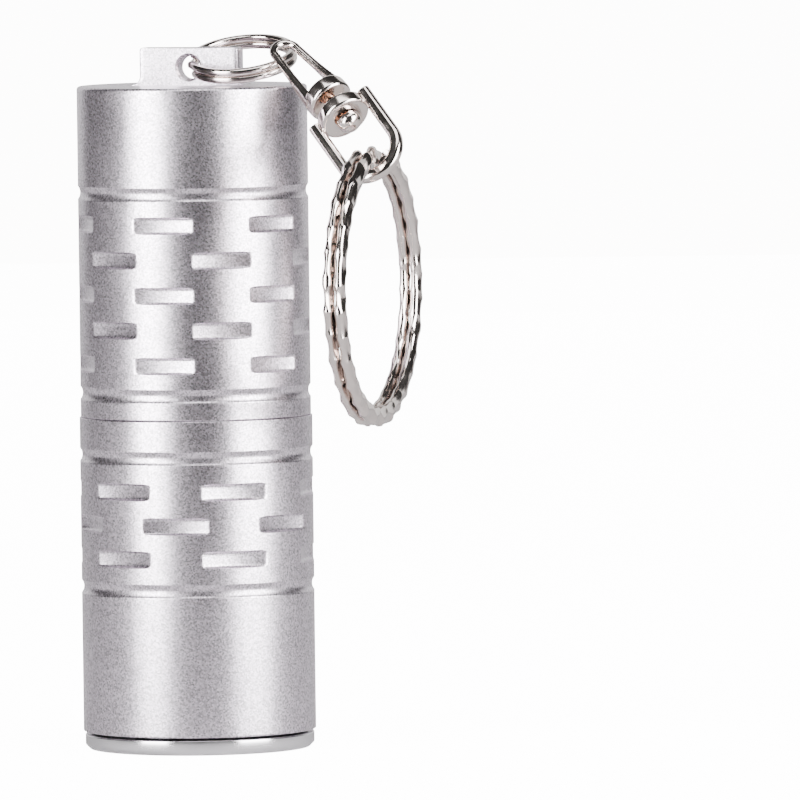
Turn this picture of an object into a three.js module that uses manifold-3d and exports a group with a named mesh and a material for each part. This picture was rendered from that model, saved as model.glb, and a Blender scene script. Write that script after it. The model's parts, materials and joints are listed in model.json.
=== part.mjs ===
// Twist-switch keychain flashlight: a turned aluminium torch built round one short lithium cell,
// with a small split ring, a swivel and a large key ring on its tail lug.
// Lengths are in millimetres and angles in degrees. The torch is laid out with z = 0 at its front
// rim and its tail up; the finished group is then lowered so that the origin is the middle of the
// lug's top face.

import * as THREE from 'three';
import { mergeVertices } from 'three/addons/utils/BufferGeometryUtils.js';
import Module from 'manifold-3d';

const wasm = await Module();
wasm.setup();

// ---------------------------------------------------------------- driving dimensions

// Cell, which sets the size of the torch
const cellRadius = 8.15;
const cellLength = 33.35;
const cellCapRadius = 3.3;
const cellCapHeight = 1.15;
const cellSlack = 0.25;
const insulatorThickness = 0.35;
const insulatorInset = 0.2;

// General clearances
const layerGap = 0.05;
const slideGap = 0.05;
const seamGap = 0.05;
const sealGap = 0.03;

// Tube and tail
const tubeWall = 2.6;
const tailWall = 1.9;
const tailRounding = 0.3;
const springRoom = 4.15;
const springWire = 0.8;
const springTurns = 4;
const springFootRadius = 3.2;
const springTailInset = 2.9;

// Lug on the tail, milled from a turned boss
const lugHeight = 3.6;
const lugWidth = 9.9;
const lugThickness = 2.15;
const lugFillet = 0.9;
const lugCorner = 0.3;
const lugHoleRadius = 1.12;
const lugHoleChamfer = 0.25;
const lugHoleDrop = 1.9;

// Neck of the tube, with its thread and o-ring, and the head's matching bores
const neckWall = 0.75;
const neckLength = 6.7;
const neckGap = 0.1;
const threadPitch = 1.0;
const threadHeight = 0.6;
const threadTurns = 3.3;
const threadInset = 1.2;
const threadRootHalf = 0.25;
const threadCrestHalf = 0.1;
const threadOverlap = 0.1;
const threadRunOut = 0.45;
const threadBoreGap = 0.25;
const threadRootGap = 0.2;
const threadFlankGap = 0.1;
const sealSection = 0.48;
const sealGrooveWidth = 1.3;
const sealGrooveDepth = 0.15;
const sealGrooveInset = 0.55;
const sealBoreLength = 2.25;

// Head
const headStep = 0.12;
const headEdge = 0.15;
const mouthDepth = 3.9;
const mouthSealDepth = 0.6;
const mouthSealLand = 0.75;

// Bezel
const bezelStep = 0.17;
const bezelFlange = 1.45;
const bezelGap = 0.25;
const bezelChamfer = 0.45;
const bezelLand = 0.4;
const bezelConeDepth = 1.9;
const bezelLip = 0.4;
const bezelLipReach = 0.6;
const bezelSkirtWall = 0.65;
const bezelSkirtLap = 0.45;
const bezelSealSection = 0.35;

// Lens, reflector and light source
const lensThickness = 1.5;
const lensEdge = 0.2;
const lensSealSection = 0.4;
const lensSealInset = 0.27;
const reflectorDepth = 8.45;
const reflectorFlange = 1.0;
const reflectorLand = 0.65;
const reflectorThroat = 4.0;
const reflectorWall = 0.8;
const reflectorCollar = 1.2;
const gasketRadius = 3.85;
const gasketThickness = 0.65;
const emitterSize = 5.0;
const emitterHeight = 0.8;
const emitterTurn = 20;
const dieSize = 2.1;
const dieHeight = 0.23;
const domeRadius = 2.2;
const domeHeight = 1.55;
const boardInset = 1.0;
const boardThickness = 1.5;

// Brass pill and driver
const pillWall = 0.6;
const pillPlate = 2.0;
const pillCavity = 2.9;
const pillLedge = 0.5;
const pillLap = 1.1;
const driverThickness = 1.0;
const contactRadius = 2.0;
const contactHeight = 1.2;
const controllerChip = { width: 3.9, depth: 4.9, height: 1.5, offset: 1.2 };
const regulatorChip = { width: 2.2, depth: 1.4, height: 1.0, offset: -3.6 };
const regulatorPitch = 3.2;
const wireRadius = 0.45;
const wireOffset = 6.3;
const wireHoleGap = 0.15;
const wireStub = 0.35;

// Grooves turned round the body: round bottomed, at these heights from the front rim
const grooveWidth = 1.25;
const grooveDepth = 0.22;
const tubeGrooves = [2.3, 21.4];
const headGrooves = [13.9, 26.5];

// Grip slots, each cut across the body by a round saw. Rows are counted away from the seam.
const slotWidth = 1.56;
const slotsPerRow = 6;
const sawRadius = 20;
const tubeSlots = { depth: 0.625, first: 5.2, pitch: 3.325, rows: 5, turn: 0 };
const headSlots = { depth: 0.75, first: 6.8, pitch: 3.2, rows: 3, turn: 35 };

// Small split ring through the lug
const smallRing = { radius: 4.87, radial: 0.75, axial: 0.68, gap: 20 };
const smallRingHeading = 14;
const smallRingRise = 5.8;
const smallRingRoll = 17.3;
const smallRingLift = 0.25;

// Swivel: a bail with its collar, a rivet and a D-shaped frame
const bailHook = 146;
const bailReach = 1.9;
const bailSeat = 80;
const bailWire = 0.84;
const bailApexRadius = 1.17;
const bailSpread = 1.85;
const bailLength = 9.8;
const bailHeading = -34.6;
const bailDrop = 35;
const bailRoll = 21.5;
const collarRadius = 2.25;
const collarHeight = 1.55;
const rivetRadius = 0.65;
const rivetHeadRadius = 1.15;
const rivetHeadHeight = 1.15;
const rivetTopHeight = 0.5;
const rivetTopRadius = 1.0;
const rivetGap = 0.1;
const swivelGap = 1.05;
const frameTurn = -37.3;
const frameDrop = 40;
const frameRoll = 52;
const frameWire = 1.2;
const frameSpread = 2.9;
const frameLength = 9.25;
const bossRadius = 2.5;
const bossHeight = 1.4;
const bossPlay = 0.3;

// Large key ring
const keyRing = { radius: 12.3, radial: 1.9, axial: 1.06, gap: 12 };
const keyRingHang = 24;
const keyRingYaw = 2;
const keyRingPlay = 0.3;

// Smoothness
const bodySegments = 48;
const smallSegments = 24;
const turnSegments = 24;
const ringSteps = 60;

// ---------------------------------------------------------------- sizes that follow

const rad = THREE.MathUtils.degToRad;

const boreRadius = cellRadius + cellSlack;
const tubeRadius = boreRadius + tubeWall;
const headRadius = tubeRadius + headStep;
const bezelRadius = headRadius - bezelStep;
const pillRadius = boreRadius + pillWall;
const headBore = pillRadius + slideGap;
const neckRadius = boreRadius + neckWall;
const threadBore = neckRadius + threadBoreGap;
const threadCrest = neckRadius + threadHeight;
const threadRoot = threadCrest + threadRootGap;
const sealSeatRadius = neckRadius - sealGrooveDepth;
const sealRadius = sealSeatRadius + sealGap + sealSection;
const sealBore = sealRadius + sealSection + 2 * sealGap;
const lensRadius = headBore - 2 * slideGap;
const skirtRadius = headBore + bezelSkirtWall;
const mouthBore = skirtRadius + slideGap;
const throatRadius = lensRadius - bezelLipReach;

// Stack along the axis, from the front rim to the tail
const headFront = bezelFlange + bezelGap;
const lensSeat = bezelConeDepth + bezelLip;
const lensFront = lensSeat + 2 * (lensSealSection + layerGap);
const reflectorFront = lensFront + lensThickness + layerGap;
const reflectorBack = reflectorFront + reflectorDepth;
const gasketFront = reflectorBack + layerGap;
const boardFront = gasketFront + gasketThickness + layerGap;
const emitterFront = boardFront - layerGap - emitterHeight;
const pillFront = boardFront + boardThickness + layerGap;
const driverFront = pillFront + pillPlate + pillCavity + layerGap;
const contactFront = driverFront + driverThickness + layerGap;
const cellFront = contactFront + contactHeight + layerGap + cellCapHeight;
const pillBack = cellFront + pillLap;
const neckFront = pillBack + neckGap;
const seam = neckFront + neckLength;
const cellBack = cellFront + cellLength;
const tailInside = cellBack + springRoom;
const bodyLength = tailInside + tailWall;
const overallHeight = bodyLength + lugHeight;
const lugHoleHeight = overallHeight - lugHoleDrop;

// ---------------------------------------------------------------- helpers

// A closed geometry as a solid, with shared corners merged and collapsed triangles dropped
function solidOf(geometry) {
  const bare = geometry.clone();
  bare.deleteAttribute('normal');
  bare.deleteAttribute('uv');
  const merged = mergeVertices(bare, 1e-4);
  const corners = merged.index.array;
  const kept = [];
  for (let i = 0; i < corners.length; i += 3) {
    const [a, b, c] = [corners[i], corners[i + 1], corners[i + 2]];
    if (a !== b && b !== c && c !== a) kept.push(a, b, c);
  }
  const vertProperties = new Float32Array(merged.attributes.position.array);
  const mesh = new wasm.Mesh({ numProp: 3, vertProperties, triVerts: new Uint32Array(kept) });
  return new wasm.Manifold(mesh);
}

function geometryOf(solid) {
  const { vertProperties, triVerts } = solid.getMesh();
  const geometry = new THREE.BufferGeometry();
  geometry.setAttribute('position', new THREE.Float32BufferAttribute(vertProperties, 3));
  geometry.setIndex(Array.from(triVerts));
  geometry.computeVertexNormals();
  return geometry;
}

// A closed outline of [radius, height] points turned about the z axis
function turned(outline, segments = bodySegments) {
  const points = outline.map(([r, z]) => new THREE.Vector2(r, z));
  if (THREE.ShapeUtils.area(points) < 0) points.reverse();
  points.push(points[0].clone());
  return new THREE.LatheGeometry(points, segments).rotateX(Math.PI / 2);
}

function disc(radius, front, back, segments = bodySegments) {
  return turned([[0, front], [radius, front], [radius, back], [0, back]], segments);
}

function ringDisc(inner, outer, front, back, segments = bodySegments) {
  return turned([[inner, front], [outer, front], [outer, back], [inner, back]], segments);
}

// An o-ring of round section
function sealRing(radius, section, height) {
  return new THREE.TorusGeometry(radius, section, 8, bodySegments).translate(0, 0, height);
}

function box(width, depth, front, back) {
  return new THREE.BoxGeometry(width, depth, back - front).translate(0, 0, (front + back) / 2);
}

// A rectangle with cut corners, width along the normal and height along the binormal of a path
function barSection(width, height, cut = 0.25) {
  const [x, y] = [width / 2, height / 2];
  const c = cut * Math.min(width, height);
  const shape = new THREE.Shape();
  shape.moveTo(x, c - y);
  shape.lineTo(x, y - c).lineTo(x - c, y).lineTo(c - x, y).lineTo(-x, y - c);
  shape.lineTo(-x, c - y).lineTo(c - x, -y).lineTo(x - c, -y).closePath();
  return shape;
}

function roundSection(radius, sides = 8) {
  const shape = new THREE.Shape();
  for (let i = 0; i < sides; i += 1) {
    const angle = (i + 0.5) * 2 * Math.PI / sides;
    const point = [radius * Math.cos(angle), radius * Math.sin(angle)];
    if (i === 0) shape.moveTo(...point);
    else shape.lineTo(...point);
  }
  return shape.closePath();
}

// A path whose section stands square to a given direction instead of twisting freely
class FramedCurve extends THREE.Curve {
  constructor(pointAt, normalAt) {
    super();
    this.pointAt = pointAt;
    this.normalAt = normalAt;
    this.arcLengthDivisions = 400;
  }

  getPoint(t) {
    return this.pointAt(t);
  }

  computeFrenetFrames(segments) {
    const frames = { tangents: [], normals: [], binormals: [] };
    for (let i = 0; i <= segments; i += 1) {
      const t = this.getUtoTmapping(i / segments);
      const tangent = this.getTangent(t);
      const normal = this.normalAt(t);
      normal.addScaledVector(tangent, -normal.dot(tangent)).normalize();
      frames.tangents.push(tangent);
      frames.normals.push(normal);
      frames.binormals.push(new THREE.Vector3().crossVectors(tangent, normal));
    }
    return frames;
  }
}

function swept(section, pointAt, normalAt, steps) {
  const extrudePath = new FramedCurve(pointAt, normalAt);
  return new THREE.ExtrudeGeometry(section, { steps, extrudePath, bevelEnabled: false });
}

function polar(radius, angle, height) {
  return new THREE.Vector3(radius * Math.cos(angle), radius * Math.sin(angle), height);
}

// A right-handed helical ridge: its section tapers from the root's half width to the crest's.
// Every ridge has the same angle at the same height, so the male and female threads mesh.
function threadRidge(root, crest, rootHalf, crestHalf, start, turns) {
  const section = new THREE.Shape();
  section.moveTo(0, -rootHalf).lineTo(crest - root, -crestHalf);
  section.lineTo(crest - root, crestHalf).lineTo(0, rootHalf).closePath();
  const heightAt = (t) => start + threadPitch * turns * t;
  const angleAt = (t) => 2 * Math.PI * (heightAt(t) - neckFront) / threadPitch;
  const pointAt = (t) => polar(root, angleAt(t), heightAt(t));
  const normalAt = (t) => polar(1, angleAt(t), 0);
  return swept(section, pointAt, normalAt, Math.round(turns * turnSegments));
}

// Two turns of flat wire in two layers. One length of wire climbs from the lower layer to the
// upper one at angle 0, and the two free ends stop `gap` degrees short of it on either side.
function splitRing({ radius, radial, axial, gap }) {
  const lift = (axial + layerGap) / 2;
  const angleAt = (t) => rad(gap + t * (720 - 2 * gap));
  const pointAt = (t) => {
    const climb = (angleAt(t) - 2 * Math.PI) / rad(gap);
    return polar(radius, angleAt(t), lift * THREE.MathUtils.clamp(climb, -1, 1));
  };
  const normalAt = (t) => polar(1, angleAt(t), 0);
  return swept(barSection(radial, axial), pointAt, normalAt, ringSteps);
}

// A round-bottomed groove cutter centred on a height
function grooveCutter(radius, height) {
  const half = grooveWidth / 2;
  const arcRadius = (half * half + grooveDepth * grooveDepth) / (2 * grooveDepth);
  const outline = [];
  const steps = 4;
  const reach = Math.asin(half / arcRadius);
  for (let i = 0; i <= steps; i += 1) {
    const angle = reach * (2 * i / steps - 1);
    const depth = grooveDepth - arcRadius * (1 - Math.cos(angle));
    outline.push([radius - depth, height + arcRadius * Math.sin(angle)]);
  }
  outline.push([radius + 1, height + half], [radius + 1, height - half]);
  return turned(outline);
}

// The disc of a saw that has cut `depth` into a round body, centred on an angle and a height
function sawCut(radius, depth, angle, height) {
  const distance = radius - depth + sawRadius;
  const cosine = (distance ** 2 + sawRadius ** 2 - radius ** 2) / (2 * distance * sawRadius);
  const span = Math.acos(cosine) * 1.15;
  const saw = new THREE.Shape();
  saw.absarc(distance, 0, sawRadius, Math.PI - span, Math.PI + span, false);
  saw.lineTo(distance, 0);
  const settings = { depth: slotWidth, bevelEnabled: false, curveSegments: 6 };
  const cutter = new THREE.ExtrudeGeometry(saw, settings);
  return cutter.translate(0, 0, height - slotWidth / 2).rotateZ(angle);
}

// All slots of one stretch of the body: `direction` is +1 towards the tail and -1 towards the rim
function gripSlots(radius, { depth, first, pitch, rows, turn }, direction) {
  const step = 2 * Math.PI / slotsPerRow;
  const cuts = [];
  for (let row = 0; row < rows; row += 1) {
    const height = seam + direction * (first + row * pitch);
    const offset = rad(turn) - Math.PI / 2 + (row % 2) * step / 2;
    for (let i = 0; i < slotsPerRow; i += 1) {
      cuts.push(solidOf(sawCut(radius, depth, offset + i * step, height)));
    }
  }
  return wasm.Manifold.union(cuts);
}

// Axes of a piece that points along a heading and down by a drop, rolled about its own length
function aimed(heading, drop, roll) {
  const [h, d] = [rad(heading), rad(drop)];
  const along = polar(Math.cos(d), h, -Math.sin(d));
  const level = new THREE.Vector3(0, 0, 1).cross(along).normalize();
  const across = level.clone().multiplyScalar(Math.cos(rad(roll)));
  across.addScaledVector(along.clone().cross(level), Math.sin(rad(roll)));
  return { along, across, third: along.clone().cross(across) };
}

function placedGroup(origin, x, y, z) {
  const group = new THREE.Group();
  group.applyMatrix4(new THREE.Matrix4().makeBasis(x, y, z).setPosition(origin));
  return group;
}

// ---------------------------------------------------------------- finishes

const finishes = {
  anodised: [0xb9bbc4, 0.45, 0.9],
  nickel: [0xc9c0b6, 0.15, 1],
  copper: [0xb9794a, 0.25, 1],
  brass: [0xc9a54a, 0.3, 1],
  mirror: [0xe4e6ea, 0.05, 1],
  glass: [0xdfe9ee, 0.02, 0],
  rubber: [0x111113, 0.7, 0],
  gasket: [0xd8d8d2, 0.6, 0],
  phosphor: [0xd8c422, 0.5, 0],
  board: [0x1f5a2c, 0.45, 0],
  emitter: [0x46524a, 0.5, 0.1],
  chip: [0x161618, 0.5, 0],
  cell: [0x1f2a3c, 0.4, 0],
  steel: [0xb4b6ba, 0.3, 1],
  paper: [0xe8e6df, 0.9, 0],
  redWire: [0xa01818, 0.5, 0],
  blackWire: [0x151515, 0.5, 0],
};

function piece(name, geometry, finish) {
  const [color, roughness, metalness] = finishes[finish];
  const material = new THREE.MeshStandardMaterial({ color, roughness, metalness });
  const mesh = new THREE.Mesh(geometry, material);
  mesh.name = name;
  return mesh;
}

// ---------------------------------------------------------------- bezel, lens and reflector

function bezel() {
  const land = bezelRadius - bezelChamfer;
  return turned([
    [land - bezelLand, 0], [land, 0], [bezelRadius, bezelChamfer], [bezelRadius, bezelFlange],
    [skirtRadius, bezelFlange], [skirtRadius, reflectorFront + bezelSkirtLap],
    [headBore, reflectorFront + bezelSkirtLap], [headBore, lensSeat],
    [throatRadius, lensSeat], [throatRadius, bezelConeDepth],
  ]);
}

function lens() {
  const back = lensFront + lensThickness;
  return turned([
    [0, lensFront], [lensRadius - lensEdge, lensFront], [lensRadius, lensFront + lensEdge],
    [lensRadius, back - lensEdge], [lensRadius - lensEdge, back], [0, back],
  ]);
}

// A parabolic dish: the square of its radius falls evenly from its mouth to its throat
function reflector() {
  const mouth = lensRadius - reflectorLand;
  const steps = 8;
  const inside = [];
  const outside = [];
  for (let i = 0; i <= steps; i += 1) {
    const share = i / steps;
    const r = Math.sqrt(mouth ** 2 + (reflectorThroat ** 2 - mouth ** 2) * share);
    inside.push([r, reflectorFront + reflectorDepth * share]);
    outside.push([r + reflectorWall, reflectorFront + reflectorDepth * share]);
  }
  const flangeBack = reflectorFront + reflectorFlange;
  const collar = reflectorThroat + reflectorCollar;
  const shell = outside.filter(([r, z]) => z > flangeBack && r > collar + 0.1).reverse();
  const shoulder = shell[0][1] + 0.2;
  return turned([
    ...inside, [collar, reflectorBack], [collar, shoulder], ...shell,
    [shell[shell.length - 1][0] + 0.1, flangeBack], [lensRadius, flangeBack],
    [lensRadius, reflectorFront],
  ]);
}

// ---------------------------------------------------------------- light source

function gasket() {
  const hole = emitterSize + 4 * layerGap;
  const opening = solidOf(box(hole, hole, gasketFront - 1, gasketFront + gasketThickness + 1));
  const round = solidOf(disc(gasketRadius, gasketFront, gasketFront + gasketThickness, smallSegments));
  return geometryOf(round.subtract(opening));
}

function emitterDome() {
  const base = emitterFront - layerGap;
  const outline = [[0, base], [domeRadius, base]];
  const steps = 6;
  for (let i = 1; i <= steps; i += 1) {
    const angle = Math.PI / 2 * i / steps;
    outline.push([domeRadius * Math.cos(angle), base - domeHeight * Math.sin(angle)]);
  }
  const pocket = dieSize + 4 * layerGap;
  const hollow = box(pocket, pocket, base - dieHeight - 2 * layerGap, base + 1);
  return geometryOf(solidOf(turned(outline, smallSegments)).subtract(solidOf(hollow)));
}

function wireHoles(front, back) {
  const bore = disc(wireRadius + wireHoleGap, front, back, 12);
  const sides = [-1, 1].map((side) => solidOf(bore.clone().translate(side * wireOffset, 0, 0)));
  return wasm.Manifold.union(sides);
}

function emitterBoard() {
  const round = solidOf(disc(pillRadius - boardInset, boardFront, boardFront + boardThickness));
  return geometryOf(round.subtract(wireHoles(boardFront - 1, boardFront + boardThickness + 1)));
}

function wire(side) {
  const tube = disc(wireRadius, boardFront - wireStub, driverFront - layerGap, 10);
  return tube.translate(side * wireOffset, 0, 0);
}

// ---------------------------------------------------------------- pill, driver and cell

function pill() {
  const plateBack = pillFront + pillPlate;
  const body = turned([
    [0, pillFront], [pillRadius, pillFront], [pillRadius, pillBack], [boreRadius, pillBack],
    [boreRadius, driverFront - layerGap], [boreRadius - pillLedge, driverFront - layerGap],
    [boreRadius - pillLedge, plateBack], [0, plateBack],
  ]);
  return geometryOf(solidOf(body).subtract(wireHoles(pillFront - 1, plateBack + 1)));
}

function chip({ width, depth, height, offset }, x) {
  const back = driverFront - layerGap;
  return box(width, depth, back - height, back).translate(x, offset, 0);
}

// A conical spring, wide at the tail, whose wire stays clear of the cell and the tail wall
function tailSpring() {
  const half = springWire / 2 + layerGap;
  const wide = boreRadius - springTailInset;
  const angleAt = (t) => 2 * Math.PI * springTurns * t;
  const pointAt = (t) => {
    const height = THREE.MathUtils.lerp(cellBack + half, tailInside - half, t);
    return polar(THREE.MathUtils.lerp(springFootRadius, wide, t), angleAt(t), height);
  };
  const normalAt = (t) => polar(1, angleAt(t), 0);
  return swept(roundSection(springWire / 2, 6), pointAt, normalAt, springTurns * 16);
}

// ---------------------------------------------------------------- head and tube

function headShell() {
  const back = seam - seamGap;
  const sealBoreFront = back - sealBoreLength;
  const shell = solidOf(turned([
    [headRadius - headEdge, headFront], [headRadius, headFront + headEdge],
    [headRadius, back - headEdge / 2], [headRadius - headEdge / 2, back], [sealBore, back],
    [sealBore, sealBoreFront], [threadBore, sealBoreFront], [threadBore, pillBack],
    [headBore, pillBack], [headBore, headFront + mouthDepth], [mouthBore, headFront + mouthDepth],
    [mouthBore, headFront + mouthSealDepth], [mouthBore + mouthSealLand, headFront + mouthSealDepth],
    [mouthBore + mouthSealLand, headFront],
  ]));
  const start = neckFront + threadInset - threadRunOut;
  const turns = (sealBoreFront + threadRunOut - start) / threadPitch;
  const rootHalf = threadRootHalf + threadFlankGap + threadOverlap;
  const crestHalf = threadCrestHalf + threadFlankGap;
  const inside = threadBore - 2 * threadOverlap;
  const groove = solidOf(threadRidge(inside, threadRoot, rootHalf, crestHalf, start, turns));
  const rings = headGrooves.map((z) => solidOf(grooveCutter(headRadius, headFront + z)));
  const slots = gripSlots(headRadius, headSlots, -1);
  return geometryOf(shell.subtract(wasm.Manifold.union([groove, slots, ...rings])));
}

// The lug is a turned boss, filleted at its foot, milled flat on two sides and cross drilled
function lug() {
  const foot = bodyLength - 0.5;
  const half = lugWidth / 2;
  const outline = [[0, foot], [half + lugFillet, foot], [half + lugFillet, bodyLength]];
  const steps = 5;
  for (let i = 1; i <= steps; i += 1) {
    const angle = Math.PI / 2 * i / steps;
    const inward = lugFillet * (1 - Math.sin(angle));
    outline.push([half + inward, bodyLength + lugFillet * (1 - Math.cos(angle))]);
  }
  const round = lugCorner * (1 - Math.SQRT1_2);
  outline.push([half, overallHeight - lugCorner], [half - round, overallHeight - round]);
  outline.push([half - lugCorner, overallHeight], [0, overallHeight]);
  const slab = solidOf(box(4 * lugWidth, lugThickness, foot - 1, overallHeight + 1));
  const face = lugThickness / 2;
  const rim = lugHoleRadius + lugHoleChamfer;
  const drill = turned([
    [0, -face - 1], [rim, -face - 1], [rim, -face], [lugHoleRadius, lugHoleChamfer - face],
    [lugHoleRadius, face - lugHoleChamfer], [rim, face], [rim, face + 1], [0, face + 1],
  ], smallSegments);
  drill.rotateX(Math.PI / 2).translate(0, 0, lugHoleHeight);
  return solidOf(turned(outline)).intersect(slab).subtract(solidOf(drill));
}

function batteryTube() {
  const sealBack = seam - sealGrooveInset;
  const sealFront = sealBack - sealGrooveWidth;
  const corner = tailRounding * (1 - Math.SQRT1_2);
  const tube = solidOf(turned([
    [boreRadius, neckFront], [neckRadius, neckFront], [neckRadius, sealFront],
    [sealSeatRadius, sealFront], [sealSeatRadius, sealBack], [neckRadius, sealBack],
    [neckRadius, seam], [tubeRadius, seam], [tubeRadius, bodyLength - tailRounding],
    [tubeRadius - corner, bodyLength - corner], [tubeRadius - tailRounding, bodyLength],
    [0, bodyLength], [0, tailInside], [boreRadius, tailInside],
  ]));
  const ridgeFoot = neckRadius - 1.5 * threadOverlap;
  const rootHalf = threadRootHalf + threadOverlap;
  const start = neckFront + threadInset;
  const ridge = solidOf(threadRidge(ridgeFoot, threadCrest, rootHalf, threadCrestHalf, start, threadTurns));
  const rings = tubeGrooves.map((z) => solidOf(grooveCutter(tubeRadius, seam + z)));
  const slots = gripSlots(tubeRadius, tubeSlots, 1);
  const cuts = wasm.Manifold.union([slots, ...rings]);
  return geometryOf(tube.add(ridge).subtract(cuts).add(lug()));
}

// ---------------------------------------------------------------- swivel

// A loop of wire: a round apex at the origin, two spreading legs and a collar at their foot,
// all laid out along +z with the loop's width along x
function swivelBail() {
  const foot = bailLength - bailWire / 2;
  const top = foot - collarHeight;
  const lean = Math.atan2(bailSpread - bailApexRadius, top - bailApexRadius);
  const legLength = (top + 0.4 - bailApexRadius) / Math.cos(lean);
  const arcLength = bailApexRadius * (Math.PI + 2 * lean);
  const total = arcLength + 2 * legLength;
  const pointAt = (t) => {
    const run = (t - 0.5) * total;
    const past = Math.abs(run) - arcLength / 2;
    const angle = Math.min(Math.abs(run), arcLength / 2) / bailApexRadius;
    const side = Math.sign(run) || 1;
    const point = new THREE.Vector3(side * Math.sin(angle), 0, 1 - Math.cos(angle));
    point.multiplyScalar(bailApexRadius);
    const legAxis = new THREE.Vector3(side * Math.sin(lean), 0, Math.cos(lean));
    return point.addScaledVector(legAxis, Math.max(past, 0));
  };
  const loop = solidOf(swept(roundSection(bailWire / 2), pointAt, () => new THREE.Vector3(0, 1, 0), 26));
  const bore = rivetRadius + rivetGap;
  const edge = 0.2;
  const collar = solidOf(turned([
    [bore, top], [collarRadius - edge, top], [collarRadius, top + edge], [collarRadius, foot - edge],
    [collarRadius - edge, foot], [bore, foot],
  ], smallSegments));
  return geometryOf(loop.add(collar));
}

// The rivet's closed head lies inside the bail and its domed head inside the frame
function swivelRivet() {
  const foot = bailLength - bailWire / 2;
  const top = foot - collarHeight - rivetGap;
  const end = foot + swivelGap + bossHeight + bossPlay + rivetGap;
  const outline = [[0, top - rivetTopHeight], [rivetTopRadius, top - rivetTopHeight]];
  outline.push([rivetTopRadius, top], [rivetRadius, top], [rivetRadius, end]);
  outline.push([rivetHeadRadius, end]);
  const steps = 5;
  const wall = 0.3;
  for (let i = 0; i <= steps; i += 1) {
    const angle = Math.PI / 2 * i / steps;
    const height = end + wall + (rivetHeadHeight - wall) * Math.sin(angle);
    outline.push([rivetHeadRadius * Math.cos(angle), height]);
  }
  return turned(outline, smallSegments);
}

// A U of wire whose open end is closed by a round boss with a hole for the rivet. The origin is
// the middle of the boss, +z runs to the rounded end and x is the frame's width.
function swivelFrame() {
  const reach = frameLength - bossHeight / 2 - frameWire / 2 - frameSpread;
  const leg = reach + bossHeight / 2;
  const arcLength = Math.PI * frameSpread;
  const total = arcLength + 2 * leg;
  const pointAt = (t) => {
    const run = t * total;
    if (run < leg) return new THREE.Vector3(-frameSpread, 0, run - bossHeight / 2);
    if (run > leg + arcLength) return new THREE.Vector3(frameSpread, 0, total - run - bossHeight / 2);
    const angle = (run - leg) / frameSpread;
    return new THREE.Vector3(-frameSpread * Math.cos(angle), 0, reach + frameSpread * Math.sin(angle));
  };
  const section = barSection(frameWire, frameWire, 0.28);
  const loop = solidOf(swept(section, pointAt, () => new THREE.Vector3(0, 1, 0), 30));
  const edge = 0.2;
  const boss = solidOf(turned([
    [0, -bossHeight / 2], [bossRadius - edge, -bossHeight / 2], [bossRadius, edge - bossHeight / 2],
    [bossRadius, bossHeight / 2 - edge], [bossRadius - edge, bossHeight / 2], [0, bossHeight / 2],
  ], smallSegments));
  const bridge = solidOf(box(2 * frameSpread, frameWire, -bossHeight / 2, bossHeight / 2));
  const hole = solidOf(disc(rivetRadius + bossPlay, -bossHeight, bossHeight, smallSegments));
  return geometryOf(loop.add(boss).add(bridge).subtract(hole));
}

// ---------------------------------------------------------------- assembly

const torch = new THREE.Group();
torch.position.z = -overallHeight;

const dieFront = emitterFront - layerGap - dieHeight;
const emitterGroup = new THREE.Group();
emitterGroup.rotation.z = rad(emitterTurn);
emitterGroup.add(
  piece('led_package', box(emitterSize, emitterSize, emitterFront, boardFront - layerGap), 'emitter'),
  piece('led_die', box(dieSize, dieSize, dieFront, dieFront + dieHeight), 'phosphor'),
  piece('led_dome', emitterDome(), 'glass'),
  piece('led_gasket', gasket(), 'gasket'),
);

torch.add(
  piece('bezel', bezel(), 'anodised'),
  piece('bezel_seal', sealRing(skirtRadius + layerGap + bezelSealSection, bezelSealSection,
    bezelFlange + layerGap + bezelSealSection), 'rubber'),
  piece('lens_seal', sealRing(throatRadius + lensSealInset, lensSealSection,
    lensSeat + layerGap + lensSealSection), 'rubber'),
  piece('lens', lens(), 'glass'),
  piece('reflector', reflector(), 'mirror'),
  emitterGroup,
  piece('led_board', emitterBoard(), 'board'),
  piece('pill', pill(), 'brass'),
  piece('wire_positive', wire(1), 'redWire'),
  piece('wire_negative', wire(-1), 'blackWire'),
);

const sealHeight = seam - sealGrooveInset - sealGrooveWidth / 2;
const driverBack = driverFront + driverThickness;
const contactBack = contactFront + contactHeight;
const capBack = cellFront - layerGap;
const insulatorInner = cellCapRadius + insulatorInset;
const insulatorOuter = cellRadius - 3 * insulatorInset;
const insulatorFront = capBack - insulatorThickness;
torch.add(
  piece('driver_board', disc(boreRadius - 2 * slideGap, driverFront, driverBack), 'board'),
  piece('driver_controller', chip(controllerChip, 0), 'chip'),
  ...[-1, 0, 1].map((place, i) => {
    return piece(`driver_regulator_${i + 1}`, chip(regulatorChip, place * regulatorPitch), 'chip');
  }),
  piece('driver_contact', disc(contactRadius, contactFront, contactBack, smallSegments), 'brass'),
  piece('battery_cap', disc(cellCapRadius, contactBack + layerGap, capBack, smallSegments), 'steel'),
  piece('battery_insulator', ringDisc(insulatorInner, insulatorOuter, insulatorFront, capBack), 'paper'),
  piece('battery_cell', disc(cellRadius, cellFront, cellBack), 'cell'),
  piece('tail_spring', tailSpring(), 'steel'),
  piece('head_shell', headShell(), 'anodised'),
  piece('battery_tube', batteryTube(), 'anodised'),
  piece('neck_seal', sealRing(sealRadius, sealSection, sealHeight), 'rubber'),
);

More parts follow.
